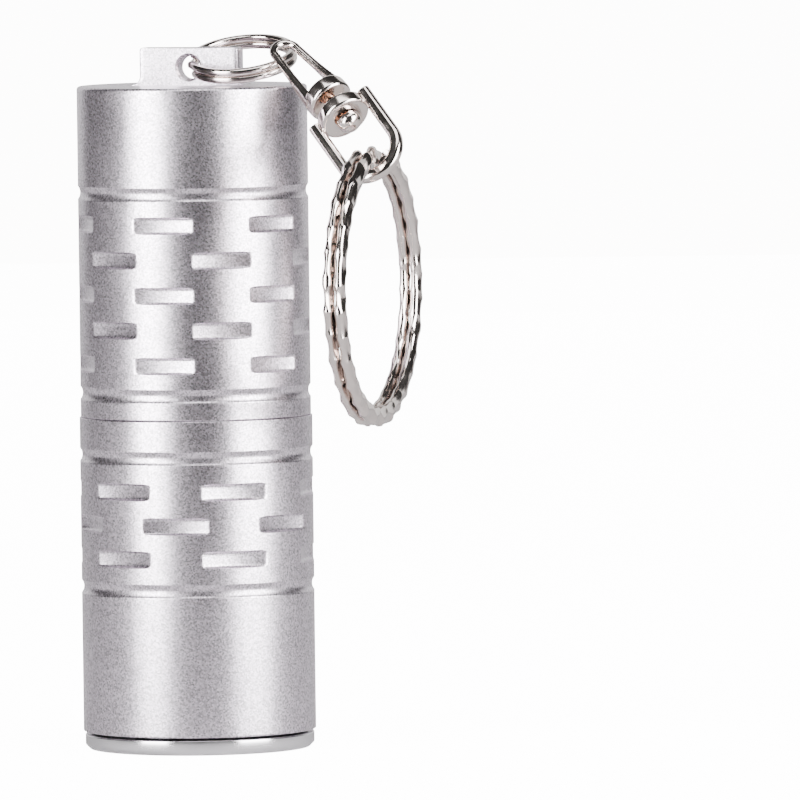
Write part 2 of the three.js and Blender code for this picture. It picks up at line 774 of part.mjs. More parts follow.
// Small split ring: `outward` runs from the lug hole to the ring's middle
const hookCentre = new THREE.Vector3(0, 0, lugHoleHeight + smallRingLift);
const ringAxes = aimed(smallRingHeading, -smallRingRise, 180 + smallRingRoll);
const outward = ringAxes.along;
const forward = ringAxes.across;
const ringCentre = hookCentre.clone().addScaledVector(outward, smallRing.radius);
const ringNormal = forward.clone().cross(outward);
const smallRingGroup = placedGroup(ringCentre, outward.clone().negate(), forward, ringNormal);
smallRingGroup.add(piece('small_split_ring', splitRing(smallRing), 'nickel'));
torch.add(smallRingGroup);

// Bail: its apex is pulled against the inside of the small ring, and it points down past the
// tail's rim
const hookSpoke = outward.clone().multiplyScalar(-Math.cos(rad(bailHook)));
hookSpoke.addScaledVector(forward, Math.sin(rad(bailHook)));
const seat = rad(bailSeat);
const bandCentre = ringCentre.clone().addScaledVector(hookSpoke, smallRing.radius);
const bailApex = bandCentre.clone().addScaledVector(hookSpoke, -bailReach * Math.cos(seat));
bailApex.addScaledVector(ringNormal, bailReach * Math.sin(seat));
const bailAxes = aimed(bailHeading, bailDrop, bailRoll);
const bailGroup = placedGroup(bailApex, bailAxes.across, bailAxes.third, bailAxes.along);
bailGroup.add(piece('swivel_bail', swivelBail(), 'nickel'), piece('swivel_rivet', swivelRivet(), 'copper'));
torch.add(bailGroup);

// Frame: its boss hangs a little askew on the rivet, which has play in it
const bossMiddle = bailLength - bailWire / 2 + swivelGap + bossPlay / 2 + bossHeight / 2;
const bossCentre = bailApex.clone().addScaledVector(bailAxes.along, bossMiddle);
const frameAxes = aimed(frameTurn, frameDrop, frameRoll);
const frameGroup = placedGroup(bossCentre, frameAxes.across, frameAxes.third, frameAxes.along);
frameGroup.add(piece('swivel_frame', swivelFrame(), 'nickel'));
torch.add(frameGroup);

// Key ring: it hangs upright from the frame's rounded end
const hang = rad(keyRingHang);
const bendCentre = frameLength - bossHeight / 2 - frameWire / 2 - frameSpread;
const hangReach = bendCentre + frameSpread * Math.cos(hang);
const hangPoint = bossCentre.clone().addScaledVector(frameAxes.along, hangReach);
hangPoint.addScaledVector(frameAxes.across, -frameSpread * Math.sin(hang));
const hangLength = keyRing.radius - keyRing.radial / 2 - frameWire / 2 - keyRingPlay;
const keyRingCentre = hangPoint.clone().add(new THREE.Vector3(0, 0, -hangLength));
const up = new THREE.Vector3(0, 0, 1);
const backward = new THREE.Vector3(Math.sin(rad(keyRingYaw)), Math.cos(rad(keyRingYaw)), 0);
const keyRingGroup = placedGroup(keyRingCentre, up, backward, up.clone().cross(backward));
keyRingGroup.add(piece('key_ring', splitRing(keyRing), 'nickel'));
torch.add(keyRingGroup);

const flashlight = new THREE.Group();
flashlight.add(torch);

export default flashlight;
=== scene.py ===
"""Keychain flashlight: the finished look of every part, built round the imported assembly.

Shapes are worked out in millimetres in the part's own frame (z = 0 at the lug's top face) and are
written into the meshes in metres.
"""

import json
import math

import bpy
import numpy as np
from mathutils import Matrix, Vector


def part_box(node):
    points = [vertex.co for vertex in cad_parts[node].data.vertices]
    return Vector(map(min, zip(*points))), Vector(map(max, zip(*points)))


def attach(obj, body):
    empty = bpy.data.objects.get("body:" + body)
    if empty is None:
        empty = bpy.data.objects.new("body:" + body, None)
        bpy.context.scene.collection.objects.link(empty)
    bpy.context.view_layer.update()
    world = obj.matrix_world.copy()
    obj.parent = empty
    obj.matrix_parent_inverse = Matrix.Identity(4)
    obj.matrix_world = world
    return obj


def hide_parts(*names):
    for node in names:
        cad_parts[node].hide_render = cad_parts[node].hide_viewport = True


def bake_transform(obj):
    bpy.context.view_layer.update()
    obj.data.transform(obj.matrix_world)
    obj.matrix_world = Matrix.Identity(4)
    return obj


bl_info = {
    "name": "Keychain flashlight",
    "version": (1, 0, 0),
    "blender": (4, 5, 0),
    "location": "View3D > Sidebar > Flashlight",
    "description": "Builds a small twist-switch flashlight with its rings, swivel and studio",
    "category": "Object",
}

MM = 0.001
TAU = 2 * math.pi
AXIS = 0.01

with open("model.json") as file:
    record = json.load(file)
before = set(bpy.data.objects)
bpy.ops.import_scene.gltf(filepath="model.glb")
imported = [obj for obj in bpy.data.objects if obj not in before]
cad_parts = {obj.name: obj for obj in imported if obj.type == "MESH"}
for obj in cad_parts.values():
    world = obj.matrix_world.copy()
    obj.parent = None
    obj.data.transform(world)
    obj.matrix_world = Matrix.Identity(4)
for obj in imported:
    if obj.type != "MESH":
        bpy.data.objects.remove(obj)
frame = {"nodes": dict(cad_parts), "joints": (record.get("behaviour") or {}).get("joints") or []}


# ---------------------------------------------------------------- reading the assembly


def low(node):
    """Lowest corner of a CAD node's box, in millimetres."""
    return np.array(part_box(node)[0]) / MM


def high(node):
    """Highest corner of a CAD node's box, in millimetres."""
    return np.array(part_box(node)[1]) / MM


def node_points(node):
    """All corners of a CAD node, in millimetres."""
    mesh = frame["nodes"][node].data
    flat = np.empty(len(mesh.vertices) * 3, np.float32)
    mesh.vertices.foreach_get("co", flat)
    return flat.reshape(-1, 3).astype(float) / MM


def joint(name):
    """Position (millimetres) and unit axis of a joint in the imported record."""
    entry = next(j for j in frame["joints"] if j["name"] == name)
    axis = np.array(entry["axis"], float)
    return np.array(entry["pos_m"], float) / MM, axis / np.linalg.norm(axis)


def unit(vector):
    """A vector scaled to length one."""
    return vector / np.linalg.norm(vector)


def square_to(vector, axis):
    """The part of a vector that is square to a unit axis, scaled to length one."""
    return unit(vector - axis * vector.dot(axis))


def thin_axis(points):
    """The direction in which a cloud of points is thinnest: the last singular vector."""
    return np.linalg.svd(points - points.mean(0), full_matrices=False)[2][2]


def ring_frame(node, start, facing):
    """Centre and axes (x towards `start`, z along the ring's own axis) of a split ring."""
    centre = (low(node) + high(node)) / 2
    axis = thin_axis(node_points(node))
    if axis.dot(facing) < 0:
        axis = -axis
    across = square_to(start - centre, axis)
    return centre, np.stack([across, np.cross(axis, across), axis])


# ---------------------------------------------------------------- shapes


def placed(points, centre, axes):
    """p = c + x X + y Y + z Z for local points (..., 3) and the rows X, Y, Z of `axes`."""
    return centre + points @ axes


def polyline(corners, radii, steps=4):
    """A polyline whose corners are rounded: each is replaced by an arc of its own radius.

    The arc touches both sides at t = r tan(turn / 2) from the corner.
    """
    corners = [np.array(c, float) for c in corners]
    if np.isscalar(radii):
        radii = [0.0] + [radii] * (len(corners) - 2) + [0.0]
    out = [corners[0]]
    for before, corner, after, radius in zip(corners, corners[1:], corners[2:], radii[1:]):
        a, b = unit(before - corner), unit(after - corner)
        turn = math.pi - math.acos(float(np.clip(a.dot(b), -1, 1)))
        if radius <= 0 or turn < 1e-3:
            out.append(corner)
            continue
        reach = radius * math.tan(turn / 2)
        centre = corner + unit(a + b) * (radius / math.cos(turn / 2))
        start, end = corner + a * reach - centre, corner + b * reach - centre
        for share in np.linspace(0, 1, steps + 1):
            out.append(centre + unit(start * (1 - share) + end * share) * radius)
    out.append(corners[-1])
    return np.array(out)


def turned(profile, columns=192):
    """Grid of a profile [(r, z), ...] turned about z: x = r cos a, y = r sin a."""
    profile = np.asarray(profile, float)
    angle = np.arange(columns) * TAU / columns
    r, z = profile[:, :1], profile[:, 1:]
    x, y = r * np.cos(angle), r * np.sin(angle)
    return np.stack([x, y, np.broadcast_to(z, x.shape)], -1)


def swept(path, normal, section):
    """Grid p = c(s) + u N(s) + v B(s) for a section (..., 2) of offsets (u, v) along a path.

    T is the path's direction, N the given normal made square to T, and B = T x N.
    """
    tangent = np.gradient(path, axis=0)
    tangent /= np.linalg.norm(tangent, axis=1, keepdims=True)
    normal = normal - tangent * (normal * tangent).sum(1, keepdims=True)
    normal /= np.linalg.norm(normal, axis=1, keepdims=True)
    binormal = np.cross(tangent, normal)
    section = np.broadcast_to(section, (len(path),) + section.shape[-2:])
    across = section[..., :1] * normal[:, None] + section[..., 1:] * binormal[:, None]
    return path[:, None] + across


def round_bar(width, height, power, count):
    """Section of a bar with soft corners: a superellipse |2u/w|^p + |2v/h|^p = 1."""
    angle = np.arange(count) * TAU / count
    c, s = np.cos(angle), np.sin(angle)
    size = (np.abs(c) ** power + np.abs(s) ** power) ** (-1 / power)
    return np.stack([size * c * width / 2, size * s * height / 2], -1)


def capped(grid):
    """A tube's grid with both ends closed by a rounded-over row and a middle point."""
    first, last = grid[0].mean(0), grid[-1].mean(0)
    front = np.broadcast_to(first, grid[0].shape)
    back = np.broadcast_to(last, grid[0].shape)
    inner = [front[None], (0.15 * front + 0.85 * grid[0])[None]]
    outer = [(0.15 * back + 0.85 * grid[-1])[None], back[None]]
    return np.concatenate(inner + [grid] + outer)


def piece(name, parts, body, nodes, materials, sharp=38):
    """One finished mesh from several grids, riding on a body and standing for CAD nodes.

    A part is (grid, closed_rows, material index). Columns always close on themselves.
    """
    corners, quads, indices, offset = [], [], [], 0
    for grid, closed, index in parts:
        rows, columns = grid.shape[:2]
        numbers = np.arange(rows * columns).reshape(rows, columns) + offset
        above = np.roll(numbers, -1, 0) if closed else numbers[1:]
        below = numbers if closed else numbers[:-1]
        faces = np.stack([below, np.roll(below, -1, 1), np.roll(above, -1, 1), above], -1)
        quads.append(faces.reshape(-1, 4))
        indices.append(np.full(len(quads[-1]), index, np.int32))
        corners.append(grid.reshape(-1, 3))
        offset += rows * columns
    corners = np.concatenate(corners) * MM
    quads = np.concatenate(quads)
    mesh = bpy.data.meshes.new(name)
    mesh.vertices.add(len(corners))
    mesh.vertices.foreach_set("co", corners.astype(np.float32).ravel())
    mesh.loops.add(quads.size)
    mesh.loops.foreach_set("vertex_index", quads.astype(np.int32).ravel())
    mesh.polygons.add(len(quads))
    mesh.polygons.foreach_set("loop_start", np.arange(0, quads.size, 4, dtype=np.int32))
    for material in materials:
        mesh.materials.append(material)
    mesh.polygons.foreach_set("material_index", np.concatenate(indices))
    mesh.polygons.foreach_set("use_smooth", np.ones(len(quads), bool))
    mesh.update(calc_edges=True)
    mesh.set_sharp_from_angle(angle=math.radians(sharp))
    mesh.validate()
    thing = bpy.data.objects.new(name, mesh)
    bpy.context.scene.collection.objects.link(thing)
    if body:
        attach(thing, body)
    if nodes:
        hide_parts(*nodes)
    return thing


# ---------------------------------------------------------------- materials

GLASS_INDEX = 1.5
PHOSPHOR_PITCH = 0.35
PHOSPHOR_LINE = 0.02


def group_tree(name, inputs, outputs):
    """A new node group with its sockets: (name, socket type, default) for every input."""
    tree = bpy.data.node_groups.new(name, "ShaderNodeTree")
    for label, kind, default in inputs:
        socket = tree.interface.new_socket(name=label, in_out="INPUT", socket_type=kind)
        if default is not None:
            socket.default_value = default
    for label, kind in outputs:
        tree.interface.new_socket(name=label, in_out="OUTPUT", socket_type=kind)
    return tree, tree.nodes.new("NodeGroupInput"), tree.nodes.new("NodeGroupOutput")


def bump_inputs(scale, height):
    """Inputs of a group that bumps a surface: place, spacing and height in metres."""
    return [
        ("Vector", "NodeSocketVector", None),
        ("Scale", "NodeSocketFloat", scale),
        ("Height", "NodeSocketFloat", height),
    ]


def bumped(tree, source, target, texture, output):
    """Turn a texture's value times the group's `Height` into the group's Normal."""
    height = tree.nodes.new("ShaderNodeMath")
    height.operation = "MULTIPLY"
    bump = tree.nodes.new("ShaderNodeBump")
    bump.inputs["Distance"].default_value = 1.0
    link = tree.links.new
    link(source.outputs["Scale"], texture.inputs["Scale"])
    link(texture.outputs[output], height.inputs[0])
    link(source.outputs["Height"], height.inputs[1])
    link(height.outputs[0], bump.inputs["Height"])
    link(bump.outputs["Normal"], target.inputs["Normal"])


def grain_and_sparkle_group():
    """Blasted surface: pits round scattered points set the normal, and every pit gets a random painted
    darkening of the colour that stands in for the sparkle of the blasted metal.

    The height is the distance to the nearest point times `Height`, in metres.
    """
    if "GrainAndPaintedSparkle" in bpy.data.node_groups:
        return bpy.data.node_groups["GrainAndPaintedSparkle"]
    outputs = [("Normal", "NodeSocketVector"), ("PaintedSparkle", "NodeSocketFloat")]
    tree, source, target = group_tree("GrainAndPaintedSparkle", bump_inputs(7500.0, 8e-6), outputs)
    pits = tree.nodes.new("ShaderNodeTexVoronoi")
    split = tree.nodes.new("ShaderNodeSeparateColor")
    # painted sparkle: every pit's random value is mapped to a 0.4 to 1 scale of the base colour
    painted_sparkle = tree.nodes.new("ShaderNodeMapRange")
    painted_sparkle.inputs["To Min"].default_value = 0.4
    painted_sparkle.inputs["To Max"].default_value = 1.0
    link = tree.links.new
    link(source.outputs["Vector"], pits.inputs["Vector"])
    bumped(tree, source, target, pits, "Distance")
    link(pits.outputs["Color"], split.inputs["Color"])
    link(split.outputs["Red"], painted_sparkle.inputs["Value"])
    link(painted_sparkle.outputs["Result"], target.inputs["PaintedSparkle"])
    return tree


def ripple_group():
    """Faint unevenness: soft noise pushes the normal about, in metres of height."""
    if "Ripple" in bpy.data.node_groups:
        return bpy.data.node_groups["Ripple"]
    outputs = [("Normal", "NodeSocketVector")]
    tree, source, target = group_tree("Ripple", bump_inputs(600.0, 8e-6), outputs)
    noise = tree.nodes.new("ShaderNodeTexNoise")
    noise.inputs["Detail"].default_value = 1.5
    tree.links.new(source.outputs["Vector"], noise.inputs["Vector"])
    bumped(tree, source, target, noise, "Fac")
    return tree


def tooling_group():
    """Turning marks: fine noise along the axis and the radius, none round the turn."""
    if "Tooling" in bpy.data.node_groups:
        return bpy.data.node_groups["Tooling"]
    outputs = [("Normal", "NodeSocketVector")]
    tree, source, target = group_tree("Tooling", bump_inputs(7000.0, 1e-6), outputs)
    split = tree.nodes.new("ShaderNodeSeparateXYZ")
    flat = tree.nodes.new("ShaderNodeCombineXYZ")
    length = tree.nodes.new("ShaderNodeVectorMath")
    length.operation = "LENGTH"
    total = tree.nodes.new("ShaderNodeMath")
    total.operation = "ADD"
    noise = tree.nodes.new("ShaderNodeTexNoise")
    noise.noise_dimensions = "1D"
    noise.inputs["Detail"].default_value = 3.0
    link = tree.links.new
    link(source.outputs["Vector"], split.inputs[0])
    link(split.outputs["X"], flat.inputs["X"])
    link(split.outputs["Y"], flat.inputs["Y"])
    link(flat.outputs[0], length.inputs[0])
    link(length.outputs["Value"], total.inputs[0])
    link(split.outputs["Z"], total.inputs[1])
    link(total.outputs[0], noise.inputs["W"])
    bumped(tree, source, target, noise, "Fac")
    return tree


def wear_group():
    """Soft patches: noise remapped to a roughness between two limits."""
    if "Wear" in bpy.data.node_groups:
        return bpy.data.node_groups["Wear"]
    inputs = [
        ("Vector", "NodeSocketVector", None),
        ("Scale", "NodeSocketFloat", 160.0),
        ("Low", "NodeSocketFloat", 0.2),
        ("High", "NodeSocketFloat", 0.3),
    ]
    tree, source, target = group_tree("Wear", inputs, [("Roughness", "NodeSocketFloat")])
    noise = tree.nodes.new("ShaderNodeTexNoise")
    noise.inputs["Detail"].default_value = 3.0
    remap = tree.nodes.new("ShaderNodeMapRange")
    remap.inputs["From Min"].default_value = 0.35
    remap.inputs["From Max"].default_value = 0.65
    link = tree.links.new
    link(source.outputs["Vector"], noise.inputs["Vector"])
    link(source.outputs["Scale"], noise.inputs["Scale"])
    link(noise.outputs["Fac"], remap.inputs["Value"])
    link(source.outputs["Low"], remap.inputs["To Min"])
    link(source.outputs["High"], remap.inputs["To Max"])
    link(remap.outputs["Result"], target.inputs["Roughness"])
    return tree


def surface(name, colour, metallic, rough, bump=None, wear_scale=160.0):
    """A material: Principled with patchy roughness (low, high) and, if given, a bump group.

    `bump` is (group, scale, height). A material is made once and then shared.
    """
    name = f"{name} finish"
    if name in bpy.data.materials:
        return bpy.data.materials[name]
    material = bpy.data.materials.new(name)
    material.use_nodes = True
    nodes, link = material.node_tree.nodes, material.node_tree.links.new
    shader = nodes["Principled BSDF"]
    shader.inputs["Base Color"].default_value = (*colour, 1)
    shader.inputs["Metallic"].default_value = metallic
    coordinates = nodes.new("ShaderNodeTexCoord")
    wear = nodes.new("ShaderNodeGroup")
    wear.node_tree = wear_group()
    wear.inputs["Scale"].default_value = wear_scale
    wear.inputs["Low"].default_value = rough[0]
    wear.inputs["High"].default_value = rough[1]
    link(coordinates.outputs["Object"], wear.inputs["Vector"])
    link(wear.outputs["Roughness"], shader.inputs["Roughness"])
    if bump:
        grain = nodes.new("ShaderNodeGroup")
        grain.node_tree = bump[0]
        grain.inputs["Scale"].default_value = bump[1]
        grain.inputs["Height"].default_value = bump[2]
        link(coordinates.outputs["Object"], grain.inputs["Vector"])
        link(grain.outputs["Normal"], shader.inputs["Normal"])
    return material


def anodised():
    """Blasted and anodised aluminium whose colour is scaled per pit by a painted sparkle that stands in
    for the glints of the grain.
    """
    colour = tuple(body_settings().colour)
    material = surface("anodised", colour, 1.0, (0.275, 0.31), (grain_and_sparkle_group(), 7500.0, 8e-6))
    nodes, link = material.node_tree.nodes, material.node_tree.links.new
    if "PaintedSparkleColour" in nodes:
        return material
    # painted sparkle: the base colour times each pit's random scale
    painted_sparkle_colour = nodes.new("ShaderNodeVectorMath")
    painted_sparkle_colour.name = "PaintedSparkleColour"
    painted_sparkle_colour.operation = "SCALE"
    painted_sparkle_colour.inputs[0].default_value = nodes["Principled BSDF"].inputs["Base Color"].default_value[:3]
    grain = next(n for n in nodes if n.bl_idname == "ShaderNodeGroup" and "PaintedSparkle" in n.outputs)
    link(grain.outputs["PaintedSparkle"], painted_sparkle_colour.inputs["Scale"])
    link(painted_sparkle_colour.outputs[0], nodes["Principled BSDF"].inputs["Base Color"])
    return material


def steel():
    """Turned steel of the spring and the cell's cap."""
    return surface("steel", (0.62, 0.62, 0.64), 1.0, (0.18, 0.28), (tooling_group(), 7000.0, 1e-6))


def bezel_metal():
    """Turned aluminium, brighter than the body."""
    return surface("bezel_metal", (0.80, 0.79, 0.81), 1.0, (0.14, 0.2), (tooling_group(), 9000.0, 8e-7))


def machined():
    """Bare turned metal inside the joints and threads."""
    return surface("machined", (0.72, 0.72, 0.74), 1.0, (0.22, 0.3), (tooling_group(), 7000.0, 1.5e-6))


def nickel():
    """Polished nickel plate, faintly uneven."""
    colour = tuple(ring_settings().colour)
    return surface("nickel", colour, 1.0, (0.1, 0.18), (ripple_group(), 600.0, 8e-6), 500.0)


def copper():
    """Bright copper of the rivet's shank."""
    return surface("copper", (0.60, 0.36, 0.25), 1.0, (0.12, 0.2), (ripple_group(), 2500.0, 2e-6), 500.0)


def plain(name, colour, metallic, rough, scale=3000.0, height=1e-6):
    """A small part's finish with a faint grain."""
    return surface(name, colour, metallic, rough, (ripple_group(), scale, height), 400.0)


def clear_glass():
    """Clear glass of the lens and the dome."""
    material = surface("glass", (0.97, 0.99, 1.0), 0.0, (0.0, 0.02))
    shader = material.node_tree.nodes["Principled BSDF"]
    shader.inputs["Transmission Weight"].default_value = 1.0
    shader.inputs["IOR"].default_value = GLASS_INDEX
    return material


def phosphor():
    """Yellow phosphor crossed by fine darker lines: a brick pattern with no offset."""
    material = plain("phosphor", (0.85, 0.74, 0.08), 0.0, (0.4, 0.5))
    nodes, link = material.node_tree.nodes, material.node_tree.links.new
    coordinates = next(n for n in nodes if n.bl_idname == "ShaderNodeTexCoord")
    turn = nodes.new("ShaderNodeMapping")
    turn.inputs["Rotation"].default_value[2] = math.radians(-20)
    brick = nodes.new("ShaderNodeTexBrick")
    brick.offset = 0.0
    brick.inputs["Color1"].default_value = (0.88, 0.78, 0.09, 1)
    brick.inputs["Color2"].default_value = (0.80, 0.70, 0.07, 1)
    brick.inputs["Mortar"].default_value = (0.45, 0.40, 0.10, 1)
    brick.inputs["Scale"].default_value = 1.0
    brick.inputs["Brick Width"].default_value = PHOSPHOR_PITCH * MM
    brick.inputs["Row Height"].default_value = PHOSPHOR_PITCH * MM
    brick.inputs["Mortar Size"].default_value = PHOSPHOR_LINE * MM
    link(coordinates.outputs["Object"], turn.inputs["Vector"])
    link(turn.outputs["Vector"], brick.inputs["Vector"])
    link(brick.outputs["Color"], nodes["Principled BSDF"].inputs["Base Color"])
    return material


# ---------------------------------------------------------------- body

SAW_RADIUS = 20.0
SLOT_WIDTH = 1.56
SAW_CORNER = 0.3
SLOT_STEP = math.radians(60)
GROOVE_WIDTH = 1.25
GROOVE_DEPTH = 0.22
NECK_LENGTH = 6.7
TUBE_EDGE = 0.1
TAIL_EDGE = 0.3
TAIL_WALL = 1.9
TUBE_GROOVES = (2.3, 21.4)
HEAD_EDGE = 0.15
HEAD_GROOVES = (13.9, 26.5)
TUBE_SLOTS = {"depth": 0.625, "first": 5.2, "pitch": 3.325, "rows": 5, "turn": 0}
HEAD_SLOTS = {"depth": 0.75, "first": 6.8, "pitch": 3.2, "rows": 3, "turn": 35}
LUG_HEIGHT = 3.6
LUG_HALF_WIDTH = 4.95
LUG_THICKNESS = 2.15
LUG_FILLET = 0.9
LUG_CORNER = 0.3
LUG_EDGE = 0.14
HOLE_DROP = 1.9
HOLE_RADIUS = 1.12
HOLE_CHAMFER = 0.25


def slot_depth(radius, depth, angle):
    """How deep the saw cuts at an angle d from the slot's middle.

    The saw's centre is D = R - depth + S away, so the cut meets the ray at
    r = D cos d - sqrt(S^2 - D^2 sin^2 d).
    """
    distance = radius - depth + SAW_RADIUS
    inside = np.maximum(SAW_RADIUS**2 - (distance * np.sin(angle)) ** 2, 0)
    met = distance * np.cos(angle) - np.sqrt(inside)
    return np.maximum(radius - met, 0)


def gripped(radius, edge_lines, grooves, slots, seam, direction, rounding, columns):
    """Outer skin r(a, z) of a body half: its radius less the deeper of a groove and a slot.

    A groove is an arc d(z) = depth - rho + sqrt(rho^2 - z^2). A slot's walls fall over the
    width `rounding`, by the smooth step m = t^2 (3 - 2t), and the saw's rim is rounded, so it
    falls short by c - sqrt(c^2 - s^2) within c of each wall.
    """
    half = SLOT_WIDTH / 2
    fine = np.array([0, 0.3, half - SAW_CORNER, half - 0.2, half - 0.12, half - 1.5 * rounding])
    wall = half + rounding * np.linspace(-1, 1, 6)
    offsets = np.concatenate([fine, wall, [half + 1.6 * rounding]])
    offsets = np.concatenate([-offsets[:0:-1], offsets])
    arc = np.concatenate([np.linspace(0, GROOVE_WIDTH / 2, 8), [GROOVE_WIDTH / 2 + 0.06]])
    arc = np.concatenate([-arc[:0:-1], arc])
    rows = [seam + direction * (slots["first"] + i * slots["pitch"]) for i in range(slots["rows"])]
    lines = [np.array(edge_lines), np.arange(min(edge_lines), max(edge_lines), 1.4)]
    lines += [row + offsets for row in rows] + [groove + arc for groove in grooves]
    z = np.unique(np.round(np.concatenate(lines), 4))
    z = z[(z > min(edge_lines) - 1e-3) & (z < max(edge_lines) + 1e-3)]
    z = z[np.concatenate([[True], np.diff(z) > 0.008])]
    angle = np.arange(columns) * TAU / columns
    cut = np.zeros((len(z), columns))
    rho = ((GROOVE_WIDTH / 2) ** 2 + GROOVE_DEPTH**2) / (2 * GROOVE_DEPTH)
    for groove in grooves:
        depth = GROOVE_DEPTH - rho + np.sqrt(np.maximum(rho**2 - (z - groove) ** 2, 0))
        cut = np.maximum(cut, depth[:, None])
    for i, row in enumerate(rows):
        t = np.clip((half + rounding - np.abs(z - row)) / (2 * rounding), 0, 1)
        mask = t * t * (3 - 2 * t)
        worn = np.clip(1 + (np.abs(z - row) - half) / SAW_CORNER, 0, 1)
        short = SAW_CORNER * (1 - np.sqrt(1 - worn**2))
        middle = math.radians(slots["turn"] - 90) + (i % 2) * SLOT_STEP / 2
        away = (angle - middle + SLOT_STEP / 2) % SLOT_STEP - SLOT_STEP / 2
        sawn = np.maximum(slot_depth(radius, slots["depth"], away)[None] - short[:, None], 0)
        cut = np.maximum(cut, mask[:, None] * sawn)
    r = radius - cut
    return np.stack([r * np.cos(angle), r * np.sin(angle), np.repeat(z[:, None], columns, 1)], -1)


def threaded(root, crest, front, back, phase, columns=180, step=0.1):
    """A right-handed thread of 1 mm pitch: r rises by a soft triangle of the height less the turn.

    w = frac(z - phase - a / 2 pi), r = root + (crest - root) smooth(1.6 - 5.5 |w - 1/2|).
    """
    z = np.arange(front, back + step / 2, step)[:, None]
    angle = (np.arange(columns) * TAU / columns)[None]
    wave = np.mod(z - phase - angle / TAU, 1.0)
    ridge = np.clip(1.6 - 5.5 * np.abs(wave - 0.5), 0, 1)
    fade = np.clip(np.minimum(z - front, back - z) / 0.5, 0, 1)
    r = root + (crest - root) * ridge * ridge * (3 - 2 * ridge) * fade
    return np.stack([r * np.cos(angle), r * np.sin(angle), np.broadcast_to(z, r.shape)], -1)


def lug(top, tail):
    """The lug as one closed loop of rows round its cross hole.

    Columns follow the outline (x, z); rows go through the hole, over one face, across the
    outline's edge and back over the other face. The boss was turned, so the outline narrows
    by sqrt(1 - (y / R)^2) away from the middle.
    """
    half_width, fillet, corner = LUG_HALF_WIDTH, LUG_FILLET, LUG_CORNER
    hole, chamfer, edge = HOLE_RADIUS, HOLE_CHAMFER, LUG_EDGE
    foot = tail - TAIL_EDGE
    side = [(half_width + fillet, foot), (half_width + fillet, tail)]
    bend = np.linspace(0, math.pi / 2, 9)[1:]
    side += [(half_width + fillet * (1 - math.sin(a)), tail + fillet * (1 - math.cos(a))) for a in bend]
    side += [(half_width, z) for z in np.linspace(tail + fillet, top - corner, 6)[1:-1]]
    bend = np.linspace(0, math.pi / 2, 7)
    side += [(half_width - corner * (1 - math.cos(a)), top - corner * (1 - math.sin(a))) for a in bend]
    side += [(x, top) for x in np.linspace(half_width - corner, 0, 12)[1:]]
    right = np.array(side)
    left = right[-2::-1] * (-1, 1)
    across = np.linspace(-half_width - fillet, half_width + fillet, 24)[1:-1]
    base = np.stack([across, np.full(len(across), foot)], -1)
    outline = np.concatenate([right, left, base])
    hub = np.array([0.0, top - HOLE_DROP])
    spoke = outline - hub
    spoke /= np.linalg.norm(spoke, axis=1, keepdims=True)
    inward = unit_rows(hub * (0.35, 1) - outline)
    face = LUG_THICKNESS / 2
    rows = []
    for share in np.linspace(-1, 1, 5):
        rows.append((hub + spoke * hole, share * (face - chamfer)))
    rows.append((hub + spoke * (hole + chamfer * 0.35), face - chamfer * 0.6))
    rows.append((hub + spoke * (hole + chamfer), face))
    for share in (0.05, 0.3, 0.6, 0.9):
        rim = hub + spoke * (hole + chamfer)
        rows.append((rim + (outline + inward * edge - rim) * share, face))
    for turn in np.linspace(0, math.pi / 2, 5):
        rows.append((outline + inward * edge * (1 - math.sin(turn)), face - edge * (1 - math.cos(turn))))
    rows += [(flat, -y) for flat, y in reversed(rows[5:])]
    y = np.array([row[1] for row in rows])[:, None]
    flat = np.stack([row[0] for row in rows])
    squeeze = np.sqrt(1 - (y / half_width) ** 2)
    return np.stack([flat[..., 0] * squeeze, np.broadcast_to(y, flat.shape[:2]), flat[..., 1]], -1)


def unit_rows(vectors):
    """Each row scaled to length one."""
    return vectors / np.linalg.norm(vectors, axis=1, keepdims=True)


def build_tube(settings):
    """The battery tube: gripped skin, rounded tail, lug, threaded neck and bore."""
    bottom, top = low("battery_tube")[2], high("battery_tube")[2]
    radius = high("battery_tube")[0]
    seam = bottom + NECK_LENGTH
    tail = top - LUG_HEIGHT
    bore, neck, crest = radius - 2.6, radius - 1.85, radius - 1.25
    skin_back = tail - TAIL_EDGE
    grooves = [seam + g for g in TUBE_GROOVES]
    lines = [seam + TUBE_EDGE, skin_back]
    skin = gripped(radius, lines, grooves, TUBE_SLOTS, seam, 1, settings.edge_width, settings.columns)
    foot = polyline([(neck, seam), (radius, seam), (radius, seam + TUBE_EDGE)], [0, TUBE_EDGE, 0])
    crown = polyline([(radius, skin_back), (radius, tail), (AXIS, tail)], [0, TAIL_EDGE, 0], 8)
    seal_front, seal_back = seam - 1.85, seam - 0.55
    seat = [
        (neck, seal_front - 0.3), (neck, seal_front), (neck - 0.15, seal_front),
        (neck - 0.15, seal_back), (neck, seal_back), (neck, seam),
    ]
    inside = [(neck, bottom), (bore, bottom), (bore, tail - TAIL_WALL), (AXIS, tail - TAIL_WALL)]
    parts = [
        (skin, False, 0),
        (turned(foot, settings.columns), False, 0),
        (turned(crown, 240), False, 0),
        (lug(top, tail), True, 0),
        (threaded(neck, crest, bottom, seal_front - 0.3, 0.5), False, 1),
        (turned(seat), False, 1),
        (turned(inside), False, 1),
    ]
    return piece("battery_tube_skin", parts, "tube", ["battery_tube"], [anodised(), machined()])


